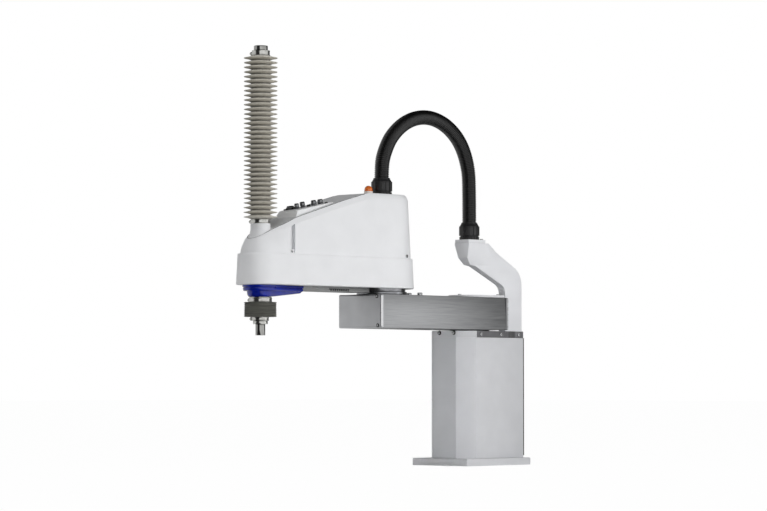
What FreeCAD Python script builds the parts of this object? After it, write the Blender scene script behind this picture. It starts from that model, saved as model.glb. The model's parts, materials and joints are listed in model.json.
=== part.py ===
import FreeCAD, Part
import math
import os
import re
import Sketcher
from FreeCAD import Placement, Rotation, Vector

# A four-axis horizontal robot arm on a column: base, two swinging arms and a ball-screw shaft
# between two bellows. Frame: the first swing axis stands at the origin, on the underside of the
# base plate; +X runs along the stretched arms, +Z is up. All sizes are in millimetres.
SIZES = [
    ("first_reach", 350, "first swing axis to second swing axis"),
    ("second_reach", 450, "second swing axis to the shaft axis"),
    ("plate_front", 122, "base plate, first axis to front edge"),
    ("plate_rear", 140, "base plate, first axis to rear edge"),
    ("plate_half_width", 100, "base plate, middle to side edge"),
    ("plate_thick", 19.5, "base plate thickness"),
    ("bolt_pitch_x", 200, "base bolt holes, spacing along X"),
    ("bolt_pitch_y", 182, "base bolt holes, spacing along Y"),
    ("bolt_hole_dia", 11, "base bolt holes, clearance for M10"),
    ("column_front", 103, "column, first axis to front face"),
    ("column_rear", 132, "column, first axis to rear face"),
    ("column_half_width", 81.7, "column, middle to side face"),
    ("column_chamfer", 38.6, "column, size of the two front corner chamfers"),
    ("column_wall", 7, "column wall"),
    ("shell_top", 349, "height where the column shell ends"),
    ("column_top", 367, "height of the top flange"),
    ("flange_bolt_dia", 9.6, "front bolts of the top flange, head diameter"),
    ("flange_bolt_tall", 6, "front bolts, head height"),
    ("flange_bolt_drop", 5.6, "front bolts, below the top of the flange"),
    ("flange_bolt_right", 17, "front bolts, middle to the one on the right"),
    ("flange_bolt_left", 36, "front bolts, middle to the one on the left"),
    ("strip_thick", 3, "dark strips on the sides of the top flange"),
    ("strip_front", 60, "first axis to the front end of the strips"),
    ("strip_joint", 95, "first axis to the joint line in the strips"),
    ("strip_gap", 2, "width of that joint"),
    ("screw_head_dia", 9, "cover screws, head diameter"),
    ("screw_head_tall", 3, "cover screws, head height"),
    ("panel_thick", 4, "rear panel thickness"),
    ("panel_half_width", 81, "rear panel, middle to edge"),
    ("panel_foot_gap", 6, "rear panel, gap above the base plate"),
    ("plug_wide", 60, "rear power and signal sockets, width"),
    ("plug_tall", 26, "rear power and signal sockets, height"),
    ("plug_deep", 14, "rear power and signal sockets, depth"),
    ("plug_pitch", 44, "rear sockets, spacing up the panel"),
    ("air_inlet_dia", 16, "air inlets under the rear sockets, diameter"),
    ("plug_low", 90, "rear sockets, height of the lowest one"),
    ("duct_leg_deep", 70, "cable duct, depth of the upright leg"),
    ("duct_half_width", 12, "cable duct, half width of the leg"),
    ("duct_foot", 250, "cable duct, height of its closed lower end"),
    ("duct_wall", 2.5, "cable duct wall"),
    ("duct_knee", 530.7, "cable duct, height of the outer corner of the bend"),
    ("duct_inner_knee", 491.6, "cable duct, height of the inner corner of the bend"),
    ("duct_outer_bend", 57, "cable duct, outer bend radius"),
    ("duct_inner_bend", 30, "cable duct, inner bend radius"),
    ("head_half_width", 26.4, "cable duct head, half width"),
    ("head_front", 31, "cable duct head, first axis to its front edge"),
    ("head_rear", 40, "cable duct head, first axis to its rear edge"),
    ("head_slope_rear", 55, "cable duct head, where the sloping back begins"),
    ("head_top", 610, "cable duct head, height of its open top"),
    ("head_chin_tall", 41, "cable duct head, height of its front face"),
    ("head_throat_drop", 63, "cable duct head, its top to the underside behind the chin"),
    ("head_throat_front", 10, "cable duct head, first axis to the front of that underside"),
    ("head_throat_rear", 11, "cable duct head, first axis to the rear of that underside"),
    ("head_throat_rise", 3, "cable duct head, rise of that underside to its front"),
    ("head_chin_back", 4, "cable duct head, set-back of the foot of its front face"),
    ("head_flare_long", 60, "cable duct head, length over which it widens"),
    ("head_rim_tall", 5, "cable duct head, height of its upright rim"),
    ("head_flare_tall", 60, "cable duct head, height of the flare"),
    ("lid_thick", 9, "plate on the duct head"),
    ("lid_fillet", 4, "corner radius of that plate"),
    ("gland_bore_dia", 28, "cable glands, bore"),
    ("gland_collar_dia", 54.5, "cable glands, collar diameter"),
    ("gland_collar_tall", 11, "cable glands, collar height"),
    ("gland_nut_dia", 56, "cable glands, nut diameter"),
    ("gland_nut_tall", 34, "cable glands, nut height"),
    ("gland_lip_wall", 3, "cable glands, wall of the rim that the hose meets"),
    ("gland_lip_tall", 2, "cable glands, rim above the nut"),
    ("hose_dia", 39.5, "corrugated hose, outside diameter"),
    ("run_gap", 0.3, "clearance between pieces that turn or slide past each other"),
    ("arm_gap", 3, "gap between the column and the first arm"),
    ("output_dia", 110, "first output flange"),
    ("output_deep", 15, "first output flange, depth in the column's flange"),
    ("flange_bore_gap", 3, "gap round the first output flange"),
    ("drive_dia", 132, "first gear unit, diameter"),
    ("drive_tall", 33, "first gear unit, height"),
    ("first_motor_wide", 86, "first motor, width of its square body"),
    ("first_motor_tall", 120, "first motor, height"),
    ("beam_tall", 89, "first arm, height"),
    ("beam_half_top", 75.4, "first arm, half width at the top"),
    ("beam_half_foot", 79.4, "first arm, half width at the bottom"),
    ("beam_rear", 74.4, "first arm, first axis to its rear end"),
    ("beam_front", 84.4, "first arm, second axis to its front end"),
    ("beam_wall", 7, "first arm, wall"),
    ("end_cap_thick", 9, "first arm, thickness of its end caps"),
    ("cap_corner", 6, "first arm, radius of the upright corners of its end caps"),
    ("cap_screw_dia", 8, "end cap screws, head diameter"),
    ("cap_screw_tall", 1.5, "end cap screws, how far their heads stand out"),
    ("cap_screw_side", 13, "end cap screws, distance from the cap's side"),
    ("cap_screw_edge", 6, "end cap screws, distance from the cap's top or bottom"),
    ("hub_cover_thick", 7, "white cover over the first axis, thickness"),
    ("hub_cover_dia", 117, "white cover over the first axis, diameter of its front"),
    ("hub_cover_rear", 72, "white cover, first axis to its rear edge"),
    ("hub_cover_half_rear", 67, "white cover, half width of its rear edge"),
    ("elbow_flange_dia", 134, "lower flange of the second axis, diameter"),
    ("elbow_flange_tall", 8, "lower flange of the second axis, height"),
    ("elbow_gap", 16, "gap between the two arms"),
    ("stop_back", 128, "stop bolts, distance behind the second axis"),
    ("stop_half_pitch", 20, "stop bolts, half their spacing"),
    ("stop_dia", 14, "stop bolts, head diameter"),
    ("stop_tall", 9, "stop bolts, head height"),
    ("housing_tall", 80, "second arm, height of its lower housing"),
    ("housing_wall", 5, "second arm, wall of its lower housing"),
    ("housing_floor", 10, "second arm, floor of its lower housing"),
    ("housing_rear_dia", 172, "lower housing, diameter at the second axis"),
    ("housing_nose_dia", 124.8, "lower housing, diameter at the shaft"),
    ("housing_draft", 3.7, "lower housing, how far each side leans in over its height"),
    ("elbow_drive_dia", 126, "second gear unit, diameter"),
    ("elbow_drive_tall", 30, "second gear unit, height"),
    ("elbow_motor_wide", 80, "second motor, width of its square body"),
    ("elbow_motor_tall", 130, "second motor, height"),
    ("cover_tall", 170, "second arm, height of its upper cover"),
    ("cover_wall", 3, "upper cover, wall"),
    ("cover_rear_dia", 155.2, "upper cover, diameter at the second axis, at its foot"),
    ("cover_screw_turn", 102, "cover screws, turn from the front, in degrees"),
    ("cover_screw_up", 6, "cover screws, height above the foot of the cover"),
    ("cover_screw_tall", 2, "cover screws, head height"),
    ("cover_screw_gap", 0.3, "cover screws, gap under the head"),
    ("cover_rear_lean", 8.3, "upper cover, how far its rear leans in over its height"),
    ("cover_nose_dia", 103.4, "upper cover, diameter at the shaft, at its foot"),
    ("cover_brow_dia", 84, "upper cover, diameter at the shaft, half way up the nose"),
    ("cover_brow_tall", 32, "upper cover, height of that place above its foot"),
    ("cover_crown_dia", 58, "upper cover, diameter at the shaft, at the top of the nose"),
    ("cover_crown_tall", 55, "upper cover, height of the top of the nose"),
    ("slope_nose_ahead", 18, "upper cover, front end of its sloping top, ahead of the shaft axis"),
    ("slope_nose_tall", 49, "upper cover, height of that end above its foot"),
    ("slope_mid_back", 80, "upper cover, first break in its sloping top, behind the shaft axis"),
    ("slope_mid_tall", 94, "upper cover, height of that break"),
    ("slope_high_back", 251, "upper cover, second break, behind the shaft axis"),
    ("slope_high_tall", 146, "upper cover, height of that break"),
    ("slope_end_back", 348, "upper cover, where the flat top begins, behind the shaft axis"),
    ("neck_dia", 51, "bellows neck, diameter"),
    ("neck_top", 632, "bellows neck, height of its shoulder"),
    ("neck_bore_dia", 40, "bellows neck, bore"),
    ("wedge_front_back", 100, "connector panel, front face, behind the shaft axis"),
    ("wedge_rear_back", 232, "connector panel, rear edge, behind the shaft axis"),
    ("wedge_half_width", 33.7, "connector panel, half width"),
    ("wedge_front_top", 669, "connector panel, height of its front edge"),
    ("wedge_rear_top", 697, "connector panel, height of its rear edge"),
    ("fitting_dia", 13, "air fittings, diameter"),
    ("fitting_tall", 14, "air fittings, height"),
    ("lamp_back", 51, "signal lamp, distance in front of the second axis"),
    ("lamp_dia", 24, "signal lamp, diameter"),
    ("lamp_base_tall", 9, "signal lamp, height of its base"),
    ("lamp_dome_tall", 4, "signal lamp, height of the straight part of its dome"),
    ("vent_start", 83, "vent cover, second axis to its rear end"),
    ("vent_end", 300, "vent cover, second axis to its front end"),
    ("vent_ramp", 25, "vent cover, length of its slanted front"),
    ("vent_half_width", 34, "vent cover, half width"),
    ("vent_tall", 12, "vent cover, height"),
    ("vent_wall", 2, "vent cover, wall"),
    ("slot_count", 10, "vent cover, number of slots in each side"),
    ("slot_first", 160, "vent cover, second axis to its first slot"),
    ("slot_pitch", 8, "vent cover, slot spacing"),
    ("slot_wide", 3.2, "vent cover, slot width"),
    ("slot_tall", 5, "vent cover, slot height"),
    ("boot_flange_dia", 94, "blue shaft cover, diameter of its flange"),
    ("boot_flange_tall", 7, "blue shaft cover, height of its flange"),
    ("boot_tall", 31, "blue shaft cover, full height"),
    ("boot_body_dia", 66, "blue shaft cover, diameter of its body"),
    ("boot_tail", 132, "blue shaft cover, shaft axis to the middle of its tail"),
    ("boot_tail_dia", 28, "blue shaft cover, diameter of its tail"),
    ("boot_rise", 13, "blue shaft cover, rise of its underside to the tail"),
    ("boot_wall", 3, "blue shaft cover, wall"),
    ("boot_bore_dia", 48, "blue shaft cover, bore"),
    ("shaft_dia", 24, "ball-screw spline shaft, diameter over its grooved length"),
    ("shaft_tip_dia", 25, "shaft, diameter of its bare lower end, which the tool clamps on"),
    ("shaft_bore_dia", 18, "shaft, bore"),
    ("shaft_foot", 346, "height of the lower end of the shaft"),
    ("cap_grip", 9.7, "how far the shaft reaches into the cap on its upper end"),
    ("bellows_dia", 87.4, "upper bellows, outside diameter"),
    ("bellows_root_dia", 50, "bellows, root diameter"),
    ("bellows_wall", 1.2, "bellows, wall"),
    ("fold_count", 35, "bellows, number of folds"),
    ("upper_bellows_tall", 421, "upper bellows, length at rest"),
    ("upper_clamp_tall", 11, "upper bellows, height of its lower clamp"),
    ("upper_clamp_dia", 51, "upper bellows, diameter of its lower clamp"),
    ("clamp_band", 1.5, "bellows clamps, band thickness"),
    ("head_clamp_tall", 13, "upper bellows, height of its upper clamp"),
    ("head_clamp_dia", 47, "upper bellows, diameter of its upper clamp"),
    ("top_cap_dia", 36, "cap on top of the shaft, diameter"),
    ("top_cap_tall", 12.2, "cap on top of the shaft, height"),
    ("lower_bellows_dia", 85.3, "lower bellows, outside diameter"),
    ("lower_bellows_tall", 38, "lower bellows, length at rest, folded up"),
    ("seat_drop", 13, "lower bellows seat, depth under the blue cover"),
    ("seat_clamp_tall", 11, "lower bellows, height of its upper clamp"),
    ("seat_clamp_dia", 60, "lower bellows, diameter of its upper clamp"),
    ("foot_clamp_tall", 10, "lower bellows, height of its lower clamp"),
    ("foot_clamp_dia", 44, "lower bellows, diameter of its lower clamp"),
    ("shaft_collar_dia", 38, "collar on the shaft, diameter"),
    ("shaft_collar_tall", 8, "collar on the shaft, height"),
    ("ear_wide", 9, "clamp screws, width of their housing"),
    ("ear_long", 9, "clamp screws, how far their housing stands out"),
    ("nut_dia", 48, "ball nut and spline nut, diameter"),
    ("nut_pulley_dia", 72, "pulleys on the nuts, diameter"),
    ("motor_pulley_dia", 36, "pulleys on the motors, diameter"),
    ("pulley_tall", 16, "pulley height"),
    ("belt_thick", 3, "belt thickness"),
    ("belt_wide", 12, "belt width"),
    ("nut_bearing_dia", 72, "nut bearings, outside diameter"),
    ("nut_bearing_tall", 9, "nut bearings, height"),
    ("spline_pulley_low", 12, "spline nut pulley, height above the floor of the housing's underside"),
    ("ball_pulley_low", 48, "ball nut pulley, height above the underside of the housing"),
    ("frame_low", 68, "drive frame, height above the underside of the housing"),
    ("frame_half_width", 42, "drive frame, half width"),
    ("frame_rear", 290, "drive frame, shaft axis to its rear end"),
    ("post_dia", 12, "drive frame, post diameter"),
    ("z_motor_back", 240, "lift motor, distance behind the shaft axis"),
    ("z_motor_wide", 60, "lift motor, width of its square body"),
    ("z_motor_tall", 118, "lift motor, height"),
    ("u_motor_back", 145, "turning motor, distance behind the shaft axis"),
    ("u_motor_wide", 42, "turning motor, width of its square body"),
    ("u_motor_tall", 84, "turning motor, height"),
    ("motor_shaft_dia", 11, "motor shafts, diameter"),
    ("board_back", 112, "circuit board, distance in front of the second axis"),
    ("board_half_width", 45, "circuit board, half width"),
    ("board_tall", 110, "circuit board, height"),
    ("board_thick", 2, "circuit board, thickness"),
]
NAMES = {alias for alias, value, note in SIZES}
MARGIN = 20  # how far a cutting or bounding shape runs past the piece it works on

# Hose route in its own plane, Y = 0, from the gland on the second arm to the gland on the duct.
HOSE_ROUTE = [
    (350, 772), (350, 796), (345, 832), (313, 889), (249, 934), (172, 950),
    (97, 933), (35, 887), (3, 818), (0, 745), (0, 666),
]

# Connectors on their panel. Each place starts with its share of the panel's length from the front,
# then how far it is from the middle plane; a socket goes on with its depth, width and height.
SOCKETS = [(0.265, -20, 14, 22, 9), (0.538, 8, 9, 12, 5), (0.155, -29, 8, 8, 3), (0.9, 24, 8, 8, 2.5)]
FITTINGS = [(0.242, 0), (0.40, 0), (0.614, 13), (0.795, 13)]

doc = FreeCAD.newDocument("horizontal_robot_arm")
sheet = doc.addObject("Spreadsheet::Sheet", "Sizes")
for row, (alias, value, note) in enumerate(SIZES, 1):
    sheet.set(f"A{row}", note)
    sheet.set(f"B{row}", str(value))
    sheet.setAlias(f"B{row}", alias)
doc.recompute()

# Heights and places that several pieces share, as expressions over the sheet.
ARM_FOOT = "(column_top + arm_gap)"
ARM_TOP = f"({ARM_FOOT} + beam_tall)"
HOUSING_FOOT = f"({ARM_TOP} + elbow_gap)"
COVER_FOOT = f"({HOUSING_FOOT} + housing_tall)"
COVER_TOP = f"({COVER_FOOT} + cover_tall)"
SHAFT_X = "(first_reach + second_reach)"
SLOPE_NOSE_X = f"({SHAFT_X} + slope_nose_ahead)"
SLOPE_MID_X = f"({SHAFT_X} - slope_mid_back)"
SLOPE_HIGH_X = f"({SHAFT_X} - slope_high_back)"
SLOPE_END_X = f"({SHAFT_X} - slope_end_back)"
WEDGE_FRONT_X = f"({SHAFT_X} - wedge_front_back)"
WEDGE_REAR_X = f"({SHAFT_X} - wedge_rear_back)"
LID_TOP = "(head_top + lid_thick)"
PANEL_REAR = "(column_rear + panel_thick)"
DUCT_REAR = f"({PANEL_REAR} + duct_leg_deep)"
BELLOWS_FOOT = "(neck_top + upper_clamp_tall)"
BELLOWS_TOP = f"({BELLOWS_FOOT} + upper_bellows_tall)"
CLAMP_TOP = f"({BELLOWS_TOP} + head_clamp_tall)"
SHAFT_TOP = f"({CLAMP_TOP} + run_gap + cap_grip)"
BOOT_FOOT = f"({HOUSING_FOOT} - boot_tall)"
SEAT_FOOT = f"({BOOT_FOOT} - seat_drop)"
LOW_BELLOWS_FOOT = f"({SEAT_FOOT} - lower_bellows_tall)"
FOOT_CLAMP_FOOT = f"({LOW_BELLOWS_FOOT} - foot_clamp_tall)"
FRAME_FOOT = f"({HOUSING_FOOT} + frame_low)"
FRAME_TOP = f"({FRAME_FOOT} + nut_bearing_tall)"
SPLINE_Z = f"({HOUSING_FOOT} + spline_pulley_low)"
BALL_Z = f"({HOUSING_FOOT} + ball_pulley_low)"


def linked(text):
    """The expression with every size named as a cell of the sheet."""
    return re.sub(
        r"[A-Za-z_]\w*", lambda m: "Sizes." + m[0] if m[0] in NAMES else m[0], text
    )


def num(text):
    """The value of an expression over the sheet, as a plain number."""
    return float(sheet.evalExpression(linked(str(text))))


def bound(kind, name, sizes, place=("0", "0", "0")):
    """A primitive whose sizes and place are bound to the sheet."""
    piece = doc.addObject(kind, name)
    for prop, text in sizes.items():
        piece.setExpression(prop, linked(text))
    for axis, text in zip("xyz", place):
        piece.setExpression(f"Placement.Base.{axis}", linked(text))
    return piece


def cylinder(name, dia, tall, x="0", y="0", z="0"):
    return bound(
        "Part::Cylinder", name, {"Radius": f"({dia}) / 2", "Height": tall}, (x, y, z)
    )


def block(name, long, wide, tall, x, y, z):
    """A box whose X and Y are its middle, and Z its foot."""
    return bound(
        "Part::Box",
        name,
        {"Length": long, "Width": wide, "Height": tall},
        (f"({x}) - ({long}) / 2", f"({y}) - ({wide}) / 2", z),
    )


def cut(name, base, tool):
    piece = doc.addObject("Part::Cut", name)
    piece.Base = base
    piece.Tool = tool
    return piece


def fused(name, shapes):
    piece = doc.addObject("Part::MultiFuse", name)
    piece.Shapes = shapes
    return piece


def group(name, solids):
    piece = doc.addObject("Part::Compound", name)
    piece.Links = solids
    return piece


def ring(name, outer, inner, tall, x, z, y="0"):
    """A round ring or tube."""
    return cut(
        name,
        cylinder(name + "_outer", outer, tall, x, y, z),
        cylinder(name + "_bore", inner, f"{tall} + 2", x, y, f"{z} - 1"),
    )


def shaped(name, shape):
    """A piece whose shape is worked out below from the sheet's sizes."""
    piece = doc.addObject("Part::Feature", name)
    piece.Shape = shape
    return piece


def plane_of(body, role):
    return next(f for f in body.Origin.OriginFeatures if f.Role == role)


def sketch_on(body, role, corners, lift="0"):
    """A closed outline on an origin plane, each corner held by two bound distances."""
    sketch = body.newObject("Sketcher::SketchObject", body.Name + "_outline")
    sketch.AttachmentSupport = [(plane_of(body, role), "")]
    sketch.MapMode = "FlatFace"
    sketch.setExpression("AttachmentOffset.Base.z", linked(lift))
    points = [Vector(num(a), num(b), 0) for a, b in corners]
    count = len(points)
    for i in range(count):
        sketch.addGeometry(Part.LineSegment(points[i], points[(i + 1) % count]))
    for i in range(count):
        sketch.addConstraint(Sketcher.Constraint("Coincident", i, 2, (i + 1) % count, 1))
    for i, (a, b) in enumerate(corners):
        for kind, text in (("DistanceX", a), ("DistanceY", b)):
            where = sketch.addConstraint(Sketcher.Constraint(kind, -1, 1, i, 1, num(text)))
            sketch.setExpression(f"Constraints[{where}]", linked(text))
    return sketch


def body_of(name):
    return doc.addObject("PartDesign::Body", name)


def pad(body, sketch, length, middle=False):
    feature = body.newObject("PartDesign::Pad", body.Name + "_pad")
    feature.Profile = sketch
    feature.setExpression("Length", linked(length))
    feature.Midplane = middle
    sketch.Visibility = False
    return feature


def pocket(body, sketch, length, turned=False):
    feature = body.newObject("PartDesign::Pocket", body.Name + "_pocket")
    feature.Profile = sketch
    feature.setExpression("Length", linked(length))
    feature.Reversed = turned
    return feature


def mirrored_corners(corners):
    """The corners with Y above zero, and the same ones mirrored, as one loop."""
    return [(x, f"-({y})") for x, y in corners] + list(reversed(corners))


def column_corners(inset="0", rear="column_rear"):
    """The column's outline: square at the rear, chamfered at the front."""
    side = f"(column_half_width - ({inset}))"
    front = f"(column_front - ({inset}))"
    return mirrored_corners(
        [
            (f"-({rear} - ({inset}))", side),
            ("column_front - column_chamfer", side),
            (front, "column_half_width - column_chamfer"),
        ]
    )


def make_base_plate():
    body = body_of("base_plate")
    outline = sketch_on(
        body,
        "XY_Plane",
        mirrored_corners([("-plate_rear", "plate_half_width"), ("plate_front", "plate_half_width")]),
    )
    pad(body, outline, "plate_thick")
    doc.recompute()
    centres = body.newObject("Sketcher::SketchObject", "base_plate_holes")
    centres.AttachmentSupport = [(plane_of(body, "XY_Plane"), "")]
    centres.MapMode = "FlatFace"
    for i, (sx, sy) in enumerate(((1, 1), (-1, 1), (-1, -1), (1, -1))):
        x, y = f"{sx} * bolt_pitch_x / 2", f"{sy} * bolt_pitch_y / 2"
        centres.addGeometry(
            Part.Circle(Vector(num(x), num(y), 0), Vector(0, 0, 1), num("bolt_hole_dia / 2"))
        )
        for kind, text in (("DistanceX", x), ("DistanceY", y)):
            where = centres.addConstraint(Sketcher.Constraint(kind, -1, 1, i, 3, num(text)))
            centres.setExpression(f"Constraints[{where}]", linked(text))
        where = centres.addConstraint(Sketcher.Constraint("Radius", i, num("bolt_hole_dia / 2")))
        centres.setExpression(f"Constraints[{where}]", linked("bolt_hole_dia / 2"))
    pocket(body, centres, "plate_thick", turned=True)
    return body


def make_column_shell():
    body = body_of("column_shell")
    outline = sketch_on(body, "XY_Plane", column_corners(), "plate_thick")
    pad(body, outline, "shell_top - plate_thick")
    doc.recompute()
    hollow = sketch_on(body, "XY_Plane", column_corners("column_wall"), "plate_thick")
    pocket(body, hollow, "shell_top - plate_thick", turned=True)
    return body


def flange_corners():
    """The top flange, set in on both sides for the dark strips."""
    side = "(column_half_width - strip_thick)"
    return mirrored_corners(
        [
            ("-column_rear", side),
            ("strip_front", side),
            ("strip_front", "column_half_width"),
            ("column_front - column_chamfer", "column_half_width"),
            ("column_front", "column_half_width - column_chamfer"),
        ]
    )


def make_top_flange():
    body = body_of("top_flange_body")
    outline = sketch_on(body, "XY_Plane", flange_corners(), "shell_top")
    pad(body, outline, "column_top - shell_top")
    bore = cylinder(
        "top_flange_bore",
        "output_dia + 2 * flange_bore_gap",
        "column_top - shell_top + 2",
        z="shell_top - 1",
    )
    return cut("top_flange", body, bore)


def make_flange_strips():
    parts = []
    middle = "(column_half_width - strip_thick / 2)"
    for side, sign in (("left", "1"), ("right", "-1")):
        for place, start, end in (
            ("front", "-strip_joint + strip_gap / 2", "strip_front"),
            ("rear", "-column_rear", "-strip_joint - strip_gap / 2"),
        ):
            parts.append(
                block(
                    f"strip_{side}_{place}",
                    f"({end}) - ({start})",
                    "strip_thick",
                    "column_top - shell_top",
                    f"(({end}) + ({start})) / 2",
                    f"{sign} * {middle}",
                    "shell_top",
                )
            )
    return group("flange_strips", parts)


def screw(name, x, y, z, direction, dia="screw_head_dia", tall="screw_head_tall"):
    """A screw head, standing out from (x, y, z) along direction."""
    piece = cylinder(name, dia, tall, x, y, z)
    piece.Placement = Placement(Vector(0, 0, 0), Rotation(Vector(0, 0, 1), Vector(*direction)))
    for axis, text in zip("xyz", (x, y, z)):
        piece.setExpression(f"Placement.Base.{axis}", linked(text))
    return piece


def make_base_screws():
    """Screws in the two strips and in the duct's plate."""
    height = "(column_top + shell_top) / 2"
    parts = []
    for side, sign in (("left", 1), ("right", -1)):
        for i, x in enumerate(("strip_front - 16", "-38", "-column_rear + 20")):
            parts.append(
                screw(f"strip_screw_{side}_{i}", x, f"{sign} * column_half_width", height, (0, sign, 0))
            )
        parts.append(
            screw(
                f"lid_screw_{side}",
                "-head_rear + screw_head_dia",
                f"{sign} * (head_half_width - screw_head_dia)",
                LID_TOP,
                (0, 0, 1),
            )
        )
    return group("base_screws", parts)


def make_flange_bolts():
    """Bolts in the front face of the top flange."""
    return group(
        "flange_bolts",
        [
            screw(
                f"flange_bolt_{i}", "column_front", y, "column_top - flange_bolt_drop", (1, 0, 0),
                "flange_bolt_dia", "flange_bolt_tall",
            )
            for i, y in enumerate(("-flange_bolt_right", "flange_bolt_left"))
        ],
    )


def make_rear_panel():
    body = body_of("rear_panel")
    foot = "(plate_thick + panel_foot_gap)"
    outline = sketch_on(
        body,
        "YZ_Plane",
        [
            ("-panel_half_width", foot),
            ("panel_half_width", foot),
            ("panel_half_width", "shell_top"),
            ("-panel_half_width", "shell_top"),
        ],
        f"-{PANEL_REAR}",
    )
    pad(body, outline, "panel_thick")
    return body


def make_rear_sockets():
    """Power, signal and encoder sockets on the rear panel, and two round air inlets."""
    x = f"-({PANEL_REAR} + plug_deep / 2)"
    parts = [
        block(
            f"rear_socket_{i}", "plug_deep", "plug_wide", "plug_tall",
            x, "0", f"plug_low + {i} * plug_pitch",
        )
        for i in range(3)
    ]
    for i, y in enumerate(("-plug_wide / 3", "plug_wide / 3")):
        parts.append(
            screw(
                f"air_inlet_{i}", f"-{PANEL_REAR}", y, "plug_low - plug_tall", (-1, 0, 0),
                "air_inlet_dia", "plug_deep",
            )
        )
    return group("rear_sockets", parts)


def face_of(points, radii=None):
    """A flat face through the points, each corner rounded by its radius."""
    radii = radii or [0] * len(points)
    edges, starts, ends = [], [], []
    count = len(points)
    for i, (p, r) in enumerate(zip(points, radii)):
        if not r:
            starts.append(p)
            ends.append(p)
            continue
        back = (points[i - 1] - p).normalize()
        ahead = (points[(i + 1) % count] - p).normalize()
        half = back.getAngle(ahead) / 2
        reach = r / math.tan(half)
        middle = p + (back + ahead).normalize() * (r / math.sin(half) - r)
        starts.append(p + back * reach)
        ends.append(p + ahead * reach)
        edges.append((i, Part.Arc(starts[i], middle, ends[i]).toShape()))
    arcs = dict(edges)
    loop = []
    for i in range(count):
        if i in arcs:
            loop.append(arcs[i])
        a, b = ends[i], starts[(i + 1) % count]
        if a.distanceToPoint(b) > 1e-6:
            loop.append(Part.LineSegment(a, b).toShape())
    return Part.Face(Part.Wire(Part.__sortEdges__(loop)))


def side_prism(points, radii, half_width):
    """A prism along Y from an outline in X and Z."""
    face = face_of([Vector(x, -half_width, z) for x, z in points], radii)
    return face.extrude(Vector(0, 2 * half_width, 0))


def duct_solid(wall, foot, top):
    """The cable duct's leg, bend, slope and flared head, set in by the wall all round."""
    rear, inner = num(f"-{DUCT_REAR}") + wall, num(f"-{PANEL_REAR}") - wall
    front, half = num("head_front") - wall, num("duct_half_width") - wall
    wide, knee = num("head_half_width") - wall, num("duct_knee") - wall
    throat, chin = num("head_top - head_throat_drop") + wall, num("head_top - head_chin_tall") + wall
    throat_front, throat_rear = num("head_throat_front") - wall, -num("head_throat_rear")
    points = [
        (rear, foot), (rear, knee), (-num("head_slope_rear"), num("head_top") - wall),
        (-num("head_rear"), top), (front, top), (front - num("head_chin_back"), chin),
        (throat_front, throat + num("head_throat_rise")), (throat_rear, throat),
        (inner, num("duct_inner_knee") + wall), (inner, foot),
    ]
    bends = [0, num("duct_outer_bend") - wall, 0, 0, 0, 0, 0, 0, num("duct_inner_bend") + wall, 0]
    side = side_prism(points, bends, wide)
    flare = num("head_top") - num("head_flare_tall")
    shoulder = num("head_top - head_rim_tall")
    reach = num(DUCT_REAR) + MARGIN
    ahead = face_of(
        [
            Vector(-reach, y, z)
            for y, z in (
                (-half, 0), (-half, flare), (-wide, shoulder), (-wide, top + MARGIN),
                (wide, top + MARGIN), (wide, shoulder), (half, flare), (half, 0),
            )
        ]
    ).extrude(Vector(2 * reach, 0, 0))
    neck = -num("head_rear")
    flare_end = neck - num("head_flare_long")
    plan = face_of(
        [
            Vector(x, y, 0)
            for x, y in (
                (-reach, -half), (flare_end, -half), (neck, -wide), (reach, -wide),
                (reach, wide), (neck, wide), (flare_end, half), (-reach, half),
            )
        ]
    ).extrude(Vector(0, 0, top + MARGIN))
    return side.common(ahead).common(plan)


def make_duct_body():
    foot, top, wall = num("duct_foot"), num("head_top"), num("duct_wall")
    return shaped("duct_body", duct_solid(0, foot, top).cut(duct_solid(wall, foot + wall, top + 1)))


def make_duct_lid():
    body = body_of("duct_lid_body")
    side = "head_half_width"
    outline = sketch_on(
        body, "XY_Plane", mirrored_corners([("-head_rear", side), ("head_front", side)]), "head_top"
    )
    plate = pad(body, outline, "lid_thick")
    doc.recompute()
    fillet = body.newObject("PartDesign::Fillet", "duct_lid_corners")
    upright = [
        f"Edge{i}"
        for i, edge in enumerate(plate.Shape.Edges, 1)
        if abs(edge.tangentAt(edge.FirstParameter).z) > 0.99
    ]
    fillet.Base = (plate, upright)
    fillet.setExpression("Radius", linked("lid_fillet"))
    bore = cylinder("duct_lid_bore", "gland_bore_dia", "lid_thick + 2", z="head_top - 1")
    return cut("duct_lid", body, bore)


def make_gland(name, x, foot):
    """A cable gland: a collar, its nut and the rim that the hose meets."""
    middle = f"({foot} + gland_collar_tall)"
    top = f"({middle} + gland_nut_tall)"
    solid = fused(
        name + "_solid",
        [
            cylinder(name + "_collar", "gland_collar_dia", "gland_collar_tall", x, z=foot),
            cylinder(name + "_nut", "gland_nut_dia", "gland_nut_tall", x, z=middle),
            cylinder(name + "_rim", "hose_dia + 2 * gland_lip_wall", "gland_lip_tall", x, z=top),
        ],
    )
    tall = "gland_collar_tall + gland_nut_tall + gland_lip_tall + 2"
    return cut(name, solid, cylinder(name + "_bore", "gland_bore_dia", tall, x, z=f"{foot} - 1"))


def make_first_drive():
    """Motor and gear unit under the top flange, and the output flange that carries the arm."""
    gear_foot = "(shell_top - drive_tall)"
    boss_top = "(column_top + arm_gap - output_deep - run_gap - arm_gap)"
    fused(
        "first_gear_unit",
        [
            cylinder("first_gear_case", "drive_dia", "drive_tall", z=gear_foot),
            cylinder("first_gear_boss", "output_dia - 10", f"{boss_top} - {gear_foot}", z=gear_foot),
        ],
    )
    block(
        "first_motor", "first_motor_wide", "first_motor_wide", "first_motor_tall",
        "0", "0", f"{gear_foot} - first_motor_tall",
    )
    cylinder(
        "first_output_flange", "output_dia", f"{ARM_FOOT} - {boss_top} - run_gap",
        z=f"{boss_top} + run_gap",
    )


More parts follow.
